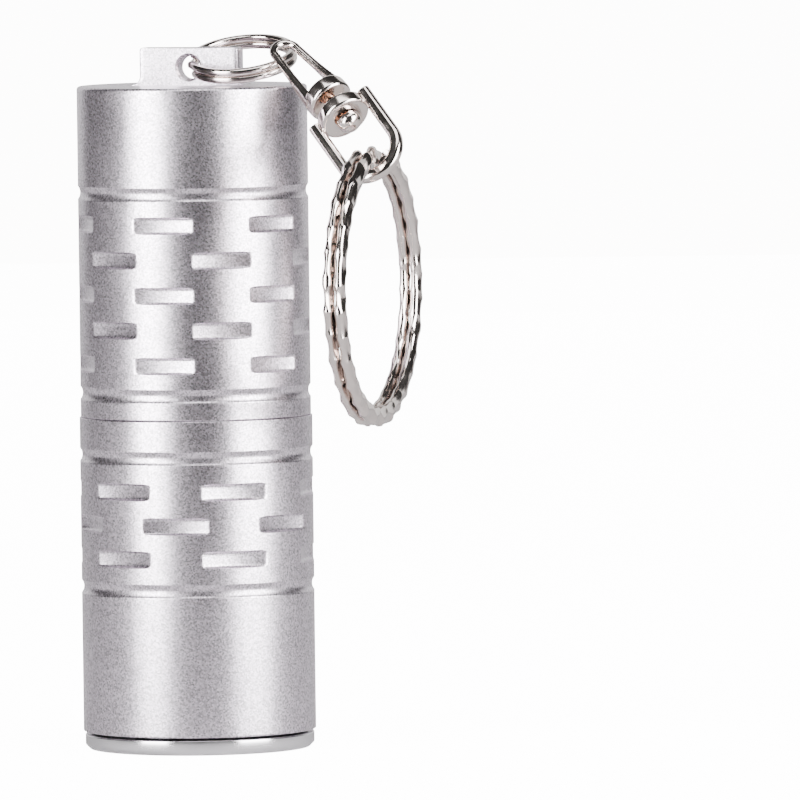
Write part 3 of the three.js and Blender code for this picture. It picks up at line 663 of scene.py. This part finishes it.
def build_head(settings):
    """The head shell: gripped skin, both end faces, bezel mouth and bore."""
    front, back = low("head_shell")[2], high("head_shell")[2]
    radius = high("head_shell")[0]
    seam = back + 0.05
    nose_edge, rear_edge = HEAD_EDGE, HEAD_EDGE / 2
    grooves = [front + g for g in HEAD_GROOVES]
    lines = [front + nose_edge, back - rear_edge]
    skin = gripped(radius, lines, grooves, HEAD_SLOTS, seam, -1, settings.edge_width, settings.columns)
    bore = radius - 2.07
    mouth = bore + 0.7
    corners = [(radius, back - rear_edge), (radius, back), (radius - 1.0, back)]
    rear = polyline(corners, [0, rear_edge, 0])
    corners = [(radius - 1.0, front), (radius, front), (radius, front + nose_edge)]
    nose = polyline(corners, [0, nose_edge, 0])
    inside = [
        (radius - 1.0, back), (radius - 1.04, back), (radius - 1.04, back - 2.3),
        (radius - 1.7, back - 2.3), (radius - 1.7, back - 6.7), (bore, back - 6.7),
        (bore, front + 3.9), (mouth, front + 3.9),
        (mouth, front + 0.6), (mouth + 0.75, front + 0.6), (mouth + 0.75, front), (radius - 1.0, front),
    ]
    parts = [
        (skin, False, 0),
        (turned(rear, settings.columns), False, 0),
        (turned(nose, settings.columns), False, 0),
        (turned(inside), False, 1),
    ]
    return piece("head_skin", parts, "head", ["head_shell"], [anodised(), machined()])


# ---------------------------------------------------------------- bezel, lens and light

BEZEL_LAND = 0.45
BEZEL_THROAT = 8.35
BEZEL_SKIRT = 9.7
BEZEL_BORE = 9.05
REFLECTOR_THROAT = 4.0
DOME_RADIUS = 2.2
SPRING_WIRE = 0.8
SPRING_TURNS = 4
SPRING_NARROW = 3.2
SPRING_WIDE = 5.5


def build_bezel():
    """The bezel ring, turned with a bright chamfer, a narrow land and a wide cone."""
    front, back = low("bezel")[2], high("bezel")[2]
    radius = high("bezel")[0]
    land = radius - BEZEL_LAND
    throat, skirt, bore = BEZEL_THROAT, BEZEL_SKIRT, BEZEL_BORE
    corners = [
        (throat, front + 2.3), (throat, front + 1.9), (land - 0.4, front), (land, front),
        (radius, front + BEZEL_LAND), (radius, front + 1.45), (skirt, front + 1.45), (skirt, back),
        (bore, back), (bore, front + 2.3), (throat, front + 2.3),
    ]
    radii = [0, 0.06, 0.08, 0.12, 0.2, 0.12, 0.04, 0.05, 0.05, 0.02, 0]
    parts = [(turned(polyline(corners, radii, 5), 256), False, 0)]
    return piece("bezel_ring", parts, "head", ["bezel"], [bezel_metal()], 60)


def seal(name, node, body, material):
    """An o-ring: a circle of the CAD seal's own section turned about the axis."""
    bottom, top = low(node)[2], high(node)[2]
    section = (top - bottom) / 2
    radius = high(node)[0] - section
    angle = np.linspace(0, TAU, 25)
    middle = (top + bottom) / 2
    profile = np.stack([radius + section * np.cos(angle), middle + section * np.sin(angle)], -1)
    return piece(name, [(turned(profile, 144), False, 0)], body, [node], [material])


def build_optics():
    """Lens, reflector, seals and the light source behind them."""
    rubber = plain("rubber", (0.02, 0.02, 0.022), 0.0, (0.35, 0.5))
    seal("bezel_o_ring", "bezel_seal", "head", rubber)
    seal("lens_o_ring", "lens_seal", "head", rubber)
    seal("neck_o_ring", "neck_seal", "seal", rubber)
    front, back, radius = low("lens")[2], high("lens")[2], high("lens")[0]
    disc = polyline([(AXIS, front), (radius, front), (radius, back), (AXIS, back)], 0.2)
    piece("lens_glass", [(turned(disc, 192), False, 0)], "head", ["lens"], [clear_glass()])
    front, back, radius = low("reflector")[2], high("reflector")[2], high("reflector")[0]
    mouth, throat = radius - 0.65, REFLECTOR_THROAT
    share = np.linspace(0, 1, 40)
    dish = np.sqrt(mouth**2 + (throat**2 - mouth**2) * share)
    depth = front + (back - front) * share
    bowl = np.stack([dish, depth], -1)
    outer = np.stack([dish + 0.8, depth], -1)[(depth > front + 1.0) & (dish > throat + 1.3)]
    rim = [(throat + 1.2, back), (throat + 1.2, outer[-1, 1] + 0.2)]
    flange = [(outer[0, 0] + 0.1, front + 1.0), (radius, front + 1.0), (radius, front), bowl[0]]
    profile = np.concatenate([bowl, rim, outer[::-1], flange])
    mirror = plain("mirror", (0.92, 0.93, 0.95), 1.0, (0.02, 0.05), 1500.0, 4e-7)
    piece("reflector_dish", [(turned(profile, 192), False, 0)], "head", ["reflector"], [mirror])
    base, tip, radius = high("led_dome")[2], low("led_dome")[2], DOME_RADIUS
    turn = np.linspace(0, math.pi / 2, 20)
    cap = np.stack([radius * np.cos(turn), base - (base - tip) * np.sin(turn)], -1)
    cap[-1, 0] = AXIS
    dome = np.concatenate([[(AXIS, base - 0.3), (radius - 0.6, base - 0.3), (radius - 0.3, base)], cap])
    piece("emitter_dome", [(turned(dome, 96), False, 0)], "head", ["led_dome"], [clear_glass()])


def build_inner():
    """Finishes of the parts that keep their CAD shape."""
    board = plain("board", (0.02, 0.16, 0.05), 0.0, (0.25, 0.35))
    brass = surface("brass", (0.78, 0.60, 0.26), 1.0, (0.2, 0.3), (tooling_group(), 7000.0, 1e-6))
    finishes = {
        "led_package": plain("emitter", (0.16, 0.20, 0.18), 0.0, (0.4, 0.5)),
        "led_die": phosphor(),
        "led_gasket": plain("gasket", (0.80, 0.80, 0.77), 0.0, (0.5, 0.6)),
        "led_board": board,
        "driver_board": board,
        "pill": brass,
        "driver_contact": brass,
        "battery_cap": steel(),
        "wire_positive": plain("red_wire", (0.45, 0.02, 0.02), 0.0, (0.35, 0.45)),
        "wire_negative": plain("black_wire", (0.02, 0.02, 0.02), 0.0, (0.35, 0.45)),
        "driver_controller": plain("chip", (0.02, 0.02, 0.022), 0.0, (0.4, 0.5)),
        "battery_insulator": plain("paper", (0.80, 0.78, 0.72), 0.0, (0.8, 0.9)),
        "battery_cell": plain("cell", (0.03, 0.06, 0.12), 0.0, (0.25, 0.35)),
    }
    for number in (1, 2, 3):
        finishes[f"driver_regulator_{number}"] = finishes["driver_controller"]
    for node, material in finishes.items():
        frame["nodes"][node].material_slots[0].material = material


def build_spring():
    """The conical tail spring, which stretches between the cell and the tail."""
    bottom, top = low("tail_spring")[2], high("tail_spring")[2]
    wire = SPRING_WIRE
    turns, narrow, wide = SPRING_TURNS, SPRING_NARROW, SPRING_WIDE
    t = np.linspace(0, 1, turns * 60)
    angle = TAU * turns * t
    r = narrow + (wide - narrow) * t
    z = bottom + wire / 2 + (top - bottom - wire) * t
    path = np.stack([r * np.cos(angle), r * np.sin(angle), z], -1)
    outward = np.stack([np.cos(angle), np.sin(angle), 0 * angle], -1)
    grid = capped(swept(path, outward, round_bar(wire, wire, 2, 14)))
    spring = piece("tail_coil", [(grid, False, 0)], None, ["tail_spring"], [steel()])
    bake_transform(spring)


# ---------------------------------------------------------------- rings and swivel

SMALL_RING = {"radius": 4.87, "radial": 0.75, "axial": 0.68, "gap": 20}
KEY_RING = {"radius": 12.3, "radial": 1.9, "axial": 1.06, "gap": 12}
LAYER_GAP = 0.05
BAIL_BEND = 1.17
BAIL_SPREAD = 1.85
BAIL_WIRE = 0.8
LEG_FLATTENING = 3.4
COLLAR_RADIUS = 2.25
COLLAR_HEIGHT = 1.55
COLLAR_HOLE = 0.75
SHANK_RADIUS = 0.65
CLOSING_RADIUS = 1.0
DOMED_RADIUS = 1.15
FRAME_BAR = 1.2
FRAME_SPREAD = 2.9
BOSS_HEIGHT = 1.4
BOSS_RADIUS = 2.5
BOSS_PLAY = 0.3


def coil(ring, steps):
    """Path and outward directions of a split ring's two turns.

    The wire climbs from one layer to the other while it passes angle 0:
    z = h clamp((a - 2 pi) / gap, -1, 1).
    """
    gap = math.radians(ring["gap"])
    angle = np.linspace(gap, 2 * TAU - gap, steps)
    lift = (ring["axial"] + LAYER_GAP) / 2
    climb = np.clip((angle - TAU) / gap, -1, 1)
    z = lift * np.sin(climb * math.pi / 2)
    out = np.stack([np.cos(angle), np.sin(angle), 0 * angle], -1)
    path = out * ring["radius"]
    path[:, 2] = z
    return path, out, angle


def build_small_ring():
    """The small split ring in the lug's hole."""
    hole, _ = joint("ring_swing")
    centre, axes = ring_frame("small_split_ring", hole, np.array([0, 0, 1.0]))
    path, out, _ = coil(SMALL_RING, 620)
    section = round_bar(SMALL_RING["radial"], SMALL_RING["axial"], 2.8, 28)
    grid = capped(swept(path, out, section))
    parts = [(placed(grid, centre, axes), False, 0)]
    return piece("small_ring_coil", parts, "small_ring", ["small_split_ring"], [nickel()], 60)


def build_key_ring(settings):
    """The large split ring, beaten all over so that its faces and edges are dimpled.

    Every dimple lowers the surface by d (1 - s^2) for s < 1, s being the distance along the
    ring and round its section over the dimple's size.
    """
    start = (low("key_ring") + high("key_ring")) / 2 + (0, 0, 10.0)
    centre, axes = ring_frame("key_ring", start, np.array([-1.0, 0, 0]))
    radial, axial = KEY_RING["radial"], KEY_RING["axial"]
    path, out, angle = coil(KEY_RING, 1500)
    section = round_bar(radial, axial, 2.8, 40)
    around = np.arctan2(section[:, 1] * radial / axial, section[:, 0])
    along = angle * KEY_RING["radius"]
    random = np.random.default_rng(7)
    dent = np.zeros((len(angle), len(section)))
    edge = math.pi / 4
    marks = [
        ((edge, -edge), 0.0, 1.0, (1.15, 1.45), (0.5, 1.0)),
        ((3 * edge, -3 * edge), 0.5, 0.8, (1.1, 1.5), (0.2, 0.6)),
    ]
    for places, shift, reach, sizes, depths in marks:
        for start in np.arange(along[0], along[-1], settings.dimple_pitch):
            middle = start + settings.dimple_pitch * (shift + random.uniform(-0.15, 0.15))
            size = random.uniform(*sizes)
            depth = settings.dimple_depth * random.uniform(*depths)
            near = np.abs(along - middle) < size
            for place in places:
                wrapped = np.angle(np.exp(1j * (around - place)))
                distance = ((along[near, None] - middle) / size) ** 2 + (wrapped[None] / reach) ** 2
                dent[near] = np.maximum(dent[near], depth * np.maximum(1 - distance, 0))
    length = np.linalg.norm(section, axis=1)
    sized = section[None] * (1 - dent / length)[..., None]
    grid = capped(swept(path, out, sized))
    parts = [(placed(grid, centre, axes), False, 0)]
    return piece("key_ring_coil", parts, "ring", ["key_ring"], [nickel()], 70)


def bail_frame():
    """Apex and axes (x across the legs, z from the apex to the collar) of the bail."""
    boss, along = joint("swivel_spin")
    points = node_points("swivel_bail")
    depth = (points - boss) @ along
    legs = points[depth < depth.min() + 5.0]
    flat = legs - np.outer(legs @ along, along)
    across = np.linalg.svd(flat - flat.mean(0), full_matrices=False)[2][0]
    if across.dot((1.0, 1.0, 0.0)) < 0:
        across = -across
    apex = boss + along * (depth.min() + 0.42)
    return apex, np.stack([across, np.cross(along, across), along])


def build_swivel():
    """The bail with its collar, the rivet and the D-shaped frame."""
    apex, axes = bail_frame()
    boss, along = joint("swivel_spin")
    depth = (node_points("swivel_bail") - apex) @ along
    foot = depth.max()
    top = foot - COLLAR_HEIGHT
    bend, spread, wire = BAIL_BEND, BAIL_SPREAD, BAIL_WIRE
    lean = math.atan2(spread - bend, top - bend)
    arc = bend * (math.pi + 2 * lean)
    leg = (top + 0.55 - bend) / math.cos(lean)
    run = np.linspace(-0.5, 0.5, 221) * (arc + 2 * leg)
    turn = np.minimum(np.abs(run), arc / 2) / bend
    past = np.maximum(np.abs(run) - arc / 2, 0)
    sign = np.where(run < 0, -1.0, 1.0)
    x = sign * (np.sin(turn) * bend + math.sin(lean) * past)
    z = (1 - np.cos(turn)) * bend + math.cos(lean) * past
    path = np.stack([x, 0 * x, z], -1)
    share = np.clip((z - LEG_FLATTENING) / (top - LEG_FLATTENING), 0, 1)
    share = share * share * (3 - 2 * share)
    unit_section = round_bar(1.0, 1.0, 2.0, 28)
    flat_section = round_bar(1.0, 1.0, 4.0, 28)
    shape = unit_section[None] * (1 - share)[:, None, None] + flat_section[None] * share[:, None, None]
    width = wire + 0.4 * share
    thick = wire + 0.02 * share
    section = shape * np.stack([width, thick], -1)[:, None]
    normal = np.tile([0.0, 1.0, 0.0], (len(path), 1))
    loop = capped(swept(path, normal, section))
    hole, rim = COLLAR_HOLE, COLLAR_RADIUS
    corners = [(hole, top), (rim, top), (rim, foot), (hole, foot), (hole, top)]
    band = turned(polyline(corners, [0, 0.34, 0.34, 0.05, 0], 6), 120)
    parts = [(placed(loop, apex, axes), False, 0), (placed(band, apex, axes), False, 0)]
    piece("swivel_bail_loop", parts, "bail", ["swivel_bail"], [nickel()], 50)
    build_rivet(apex, axes, foot)
    build_frame(boss)


def build_rivet(apex, axes, foot):
    """The rivet: a copper shank between a flat closing head and a domed head."""
    top = foot - COLLAR_HEIGHT - 0.1
    end = high_along("swivel_rivet", apex, axes[2]) - DOMED_RADIUS
    rim, thin, wide = CLOSING_RADIUS, SHANK_RADIUS, DOMED_RADIUS
    shank = polyline([(rim, top), (thin, top), (thin, end), (wide, end)], 0.05)
    closing = polyline([(AXIS, top - 0.5), (rim, top - 0.5), (rim, top)], [0, 0.2, 0])
    turn = np.linspace(0, math.pi / 2, 16)
    dome = np.stack([wide * np.cos(turn), end + 0.3 + 0.85 * np.sin(turn)], -1)
    dome[-1, 0] = AXIS
    head = np.concatenate([[(wide, end)], dome])
    parts = [
        (placed(turned(shank, 64), apex, axes), False, 0),
        (placed(turned(closing, 64), apex, axes), False, 1),
        (placed(turned(head, 64), apex, axes), False, 1),
    ]
    piece("swivel_rivet_pin", parts, "bail", ["swivel_rivet"], [copper(), nickel()])


def high_along(node, origin, axis):
    """The farthest reach of a CAD node from a point along an axis."""
    return ((node_points(node) - origin) @ axis).max()


def build_frame(boss):
    """The D-shaped frame: a bent bar whose square ends stand proud of a round, domed boss."""
    points = node_points("swivel_frame")
    face = thin_axis(points)
    along = square_to(points.mean(0) - boss, face)
    if face.dot((0, 0, 1.0)) < 0:
        face = -face
    across = np.cross(face, along)
    axes = np.stack([across, face, along])
    reach = high_along("swivel_frame", boss, along)
    bar, spread, height, rim = FRAME_BAR, FRAME_SPREAD, BOSS_HEIGHT, BOSS_RADIUS
    straight = reach - bar / 2 - spread
    leg = straight + height / 2
    arc = math.pi * spread
    run = np.linspace(0, 2 * leg + arc, 200)
    turn = np.clip((run - leg) / spread, 0, math.pi)
    before, after = np.minimum(run, leg), np.maximum(run - leg - arc, 0)
    x = -spread * np.cos(turn)
    z = before - height / 2 + spread * np.sin(turn) - after
    path = np.stack([x, 0 * x, z], -1)
    normal = np.tile([0.0, 1.0, 0.0], (len(path), 1))
    loop = capped(swept(path, normal, round_bar(bar, bar, 2.6, 32)))
    hole = SHANK_RADIUS + BOSS_PLAY
    half = height / 2
    corners = [(hole, 0), (hole, -half), (rim, -half), (rim, half), (hole, half), (hole, 0)]
    disc = turned(polyline(corners, [0, 0.06, 0.4, 0.3, 0.06, 0], 6), 120)
    parts = [(placed(loop, boss, axes), False, 0), (placed(disc, boss, axes), False, 0)]
    piece("swivel_frame_loop", parts, "frame", ["swivel_frame"], [nickel()], 50)


# ---------------------------------------------------------------- studio

VIEW_TURN = math.radians(15)
VIEW_RISE = math.radians(3.3)
VIEW_LEAN = math.radians(0.69)
VIEW_DISTANCE = 1200.0
VIEW_LENS = 565.4
AIM_SIDE = 19.5
AIM_HEIGHT = 32.965
FLOOR_REACH = 1000.0


def pale_floor(settings):
    """A flat pale floor under the torch, white to the camera and dull to everything else."""
    ground = low("bezel")[2]
    toward = np.array([math.sin(VIEW_TURN), -math.cos(VIEW_TURN)])
    side = np.array([math.cos(VIEW_TURN), math.sin(VIEW_TURN)])
    reach, front = FLOOR_REACH, settings.floor_front
    corners = [(-reach, -reach), (reach, -reach), (reach, front), (-reach, front)]
    places = [side * across + toward * ahead for across, ahead in corners]
    mesh = bpy.data.meshes.new("studio_floor")
    mesh.from_pydata([(x * MM, y * MM, ground * MM) for x, y in places], [], [(0, 1, 2, 3)])
    mesh.flip_normals()
    material = bpy.data.materials.new("studio_sheet")
    material.use_nodes = True
    nodes, link = material.node_tree.nodes, material.node_tree.links.new
    shader = nodes["Principled BSDF"]
    shader.inputs["Base Color"].default_value = (0.5, 0.49, 0.5, 1)
    shader.inputs["Roughness"].default_value = 0.9
    shader.inputs["Specular IOR Level"].default_value = 0.1
    shader.inputs["Emission Color"].default_value = (1, 1, 1, 1)
    link(seen_white(nodes, link, 0.0, settings.seen_glow), shader.inputs["Emission Strength"])
    mesh.materials.append(material)
    sheet = bpy.data.objects.new("studio_floor", mesh)
    bpy.context.scene.collection.objects.link(sheet)


def seen_white(nodes, link, dim, bright):
    """A strength that is `bright` where the camera looks straight at it and `dim` elsewhere."""
    path = nodes.new("ShaderNodeLightPath")
    glow = nodes.new("ShaderNodeMapRange")
    glow.inputs["To Min"].default_value = dim
    glow.inputs["To Max"].default_value = bright
    link(path.outputs["Is Camera Ray"], glow.inputs["Value"])
    return glow.outputs["Result"]


def softbox(name, azimuth, height, distance, width, tall, power):
    """An upright area light, `azimuth` degrees round from the camera, facing the torch."""
    turn = VIEW_TURN + math.radians(azimuth)
    toward = np.array([math.sin(turn), -math.cos(turn), 0])
    place = toward * distance + (0, 0, height + AIM_HEIGHT + low("bezel")[2])
    data = bpy.data.lights.new(name, "AREA")
    data.shape = "RECTANGLE"
    data.size, data.size_y = width * MM, tall * MM
    data.energy = power
    lamp = bpy.data.objects.new(name, data)
    lamp.location = place * MM
    target = Vector((0, 0, (AIM_HEIGHT + low("bezel")[2]) * MM))
    lamp.rotation_euler = (target - lamp.location).to_track_quat("-Z", "Y").to_euler()
    bpy.context.scene.collection.objects.link(lamp)
    return lamp


def build_stage(settings):
    """Floor, softboxes, dim room and the camera."""
    pale_floor(settings)
    softbox("softbox_left", -46, 60, 700, 340, 900, settings.left_power)
    softbox("softbox_right", 58, 60, 700, 420, 900, settings.right_power)
    softbox("softbox_top", 10, 700, 260, 500, 400, settings.top_power)
    glow = softbox("backdrop_glow", 180, 200, 750, 1500, 1000, settings.back_power)
    glow.visible_camera = False
    world = bpy.data.worlds.new("studio_room")
    world.use_nodes = True
    nodes, link = world.node_tree.nodes, world.node_tree.links.new
    room = nodes["Background"]
    room.inputs["Color"].default_value = (0.95, 0.93, 0.92, 1)
    link(seen_white(nodes, link, settings.room_light, settings.seen_glow), room.inputs["Strength"])
    bpy.context.scene.world = world
    side = np.array([math.cos(VIEW_TURN), math.sin(VIEW_TURN), 0])
    level = np.array([math.sin(VIEW_TURN), -math.cos(VIEW_TURN), 0])
    back = level * math.cos(VIEW_RISE) + (0, 0, math.sin(VIEW_RISE))
    rise = np.cross(back, side)
    right = side * math.cos(VIEW_LEAN) - rise * math.sin(VIEW_LEAN)
    up = rise * math.cos(VIEW_LEAN) + side * math.sin(VIEW_LEAN)
    aim = side * AIM_SIDE + (0, 0, AIM_HEIGHT + low("bezel")[2])
    place = aim + back * VIEW_DISTANCE
    matrix = np.eye(4)
    matrix[:3, :3] = np.stack([right, up, back], 1)
    matrix[:3, 3] = place * MM
    data = bpy.data.cameras.new("camera")
    data.lens = VIEW_LENS
    data.sensor_width = 36
    camera = bpy.data.objects.new("camera", data)
    camera.matrix_world = Matrix(matrix.tolist())
    bpy.context.scene.collection.objects.link(camera)
    bpy.context.scene.camera = camera


# ---------------------------------------------------------------- add-on


class BodySettings(bpy.types.PropertyGroup):
    """Skin of the body."""

    columns: bpy.props.IntProperty(
        name="Columns", description="Columns of the skin round the body", default=420, min=60)
    edge_width: bpy.props.FloatProperty(
        name="Edge width", description="Half width of a slot's edge, in millimetres", default=0.035)
    colour: bpy.props.FloatVectorProperty(
        name="Colour", description="Colour of the anodised skin", subtype="COLOR",
        default=(0.96, 0.88, 0.97))


class RingSettings(bpy.types.PropertyGroup):
    """Plating of the rings and beating marks of the key ring."""

    dimple_pitch: bpy.props.FloatProperty(
        name="Dimple pitch", description="Distance between dimples, in millimetres", default=2.5)
    dimple_depth: bpy.props.FloatProperty(
        name="Dimple depth", description="Greatest depth of a dimple, in millimetres", default=0.27)
    colour: bpy.props.FloatVectorProperty(
        name="Colour", description="Colour of the nickel plate", subtype="COLOR",
        default=(0.76, 0.685, 0.65))


class StageSettings(bpy.types.PropertyGroup):
    """Studio lights and floor."""

    left_power: bpy.props.FloatProperty(
        name="Left softbox", description="Power of the left softbox", default=19.0, subtype="POWER")
    right_power: bpy.props.FloatProperty(
        name="Right softbox", description="Power of the right softbox", default=24.0, subtype="POWER")
    top_power: bpy.props.FloatProperty(
        name="Top softbox", description="Power of the top softbox", default=3.0, subtype="POWER")
    room_light: bpy.props.FloatProperty(
        name="Room light", description="Strength of the dim room", default=0.04)
    back_power: bpy.props.FloatProperty(
        name="Back light", description="Power of the light behind the torch", default=5.6, subtype="POWER")
    seen_glow: bpy.props.FloatProperty(
        name="Whiteness", description="Light the camera sees on the floor and behind it", default=14.0)
    floor_front: bpy.props.FloatProperty(
        name="Floor in front", default=130.0,
        description="How far the floor reaches in front, in millimetres")


def body_settings():
    """The body's settings."""
    return bpy.context.scene.flashlight_body


def ring_settings():
    """The rings' settings."""
    return bpy.context.scene.flashlight_rings


def stage_settings():
    """The studio's settings."""
    return bpy.context.scene.flashlight_stage


class FLASHLIGHT_OT_tube(bpy.types.Operator):
    """Build the battery tube with its lug"""

    bl_idname = "flashlight.tube"
    bl_label = "Battery tube"

    def execute(self, context):
        build_tube(body_settings())
        return {"FINISHED"}


class FLASHLIGHT_OT_head(bpy.types.Operator):
    """Build the head shell"""

    bl_idname = "flashlight.head"
    bl_label = "Head"

    def execute(self, context):
        build_head(body_settings())
        return {"FINISHED"}


class FLASHLIGHT_OT_bezel(bpy.types.Operator):
    """Build the bezel"""

    bl_idname = "flashlight.bezel"
    bl_label = "Bezel"

    def execute(self, context):
        build_bezel()
        return {"FINISHED"}


class FLASHLIGHT_OT_optics(bpy.types.Operator):
    """Build the lens, reflector, seals and emitter dome"""

    bl_idname = "flashlight.optics"
    bl_label = "Lens and reflector"

    def execute(self, context):
        build_optics()
        return {"FINISHED"}


class FLASHLIGHT_OT_inner(bpy.types.Operator):
    """Finish the parts inside the torch and build the tail spring"""

    bl_idname = "flashlight.inner"
    bl_label = "Inner parts"

    def execute(self, context):
        build_inner()
        build_spring()
        return {"FINISHED"}


class FLASHLIGHT_OT_small_ring(bpy.types.Operator):
    """Build the small split ring"""

    bl_idname = "flashlight.small_ring"
    bl_label = "Small ring"

    def execute(self, context):
        build_small_ring()
        return {"FINISHED"}


class FLASHLIGHT_OT_swivel(bpy.types.Operator):
    """Build the swivel's bail, rivet and frame"""

    bl_idname = "flashlight.swivel"
    bl_label = "Swivel"

    def execute(self, context):
        build_swivel()
        return {"FINISHED"}


class FLASHLIGHT_OT_key_ring(bpy.types.Operator):
    """Build the large beaten key ring"""

    bl_idname = "flashlight.key_ring"
    bl_label = "Key ring"

    def execute(self, context):
        build_key_ring(ring_settings())
        return {"FINISHED"}


class FLASHLIGHT_OT_stage(bpy.types.Operator):
    """Build the studio and the camera"""

    bl_idname = "flashlight.stage"
    bl_label = "Studio"

    def execute(self, context):
        build_stage(stage_settings())
        return {"FINISHED"}


OPERATORS = (
    FLASHLIGHT_OT_tube,
    FLASHLIGHT_OT_head,
    FLASHLIGHT_OT_bezel,
    FLASHLIGHT_OT_optics,
    FLASHLIGHT_OT_inner,
    FLASHLIGHT_OT_small_ring,
    FLASHLIGHT_OT_swivel,
    FLASHLIGHT_OT_key_ring,
    FLASHLIGHT_OT_stage,
)


class FLASHLIGHT_PT_panel(bpy.types.Panel):
    """Sidebar panel with one button for every group of parts"""

    bl_idname = "FLASHLIGHT_PT_panel"
    bl_label = "Flashlight"
    bl_space_type = "VIEW_3D"
    bl_region_type = "UI"
    bl_category = "Flashlight"

    def draw(self, context):
        for settings in (body_settings(), ring_settings(), stage_settings()):
            for name in settings.__annotations__:
                self.layout.prop(settings, name)
        for operator in OPERATORS:
            self.layout.operator(operator.bl_idname)


CLASSES = (BodySettings, RingSettings, StageSettings) + OPERATORS + (FLASHLIGHT_PT_panel,)


def register():
    """Add the settings, operators and panel."""
    for item in CLASSES:
        bpy.utils.register_class(item)
    bpy.types.Scene.flashlight_body = bpy.props.PointerProperty(type=BodySettings)
    bpy.types.Scene.flashlight_rings = bpy.props.PointerProperty(type=RingSettings)
    bpy.types.Scene.flashlight_stage = bpy.props.PointerProperty(type=StageSettings)


def unregister():
    """Remove them again."""
    del bpy.types.Scene.flashlight_stage
    del bpy.types.Scene.flashlight_rings
    del bpy.types.Scene.flashlight_body
    for item in reversed(CLASSES):
        bpy.utils.unregister_class(item)


def main():
    """Build everything."""
    register()
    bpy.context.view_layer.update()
    for operator in OPERATORS:
        group, name = operator.bl_idname.split(".")
        getattr(getattr(bpy.ops, group), name)()


if __name__ == "__main__":
    main()
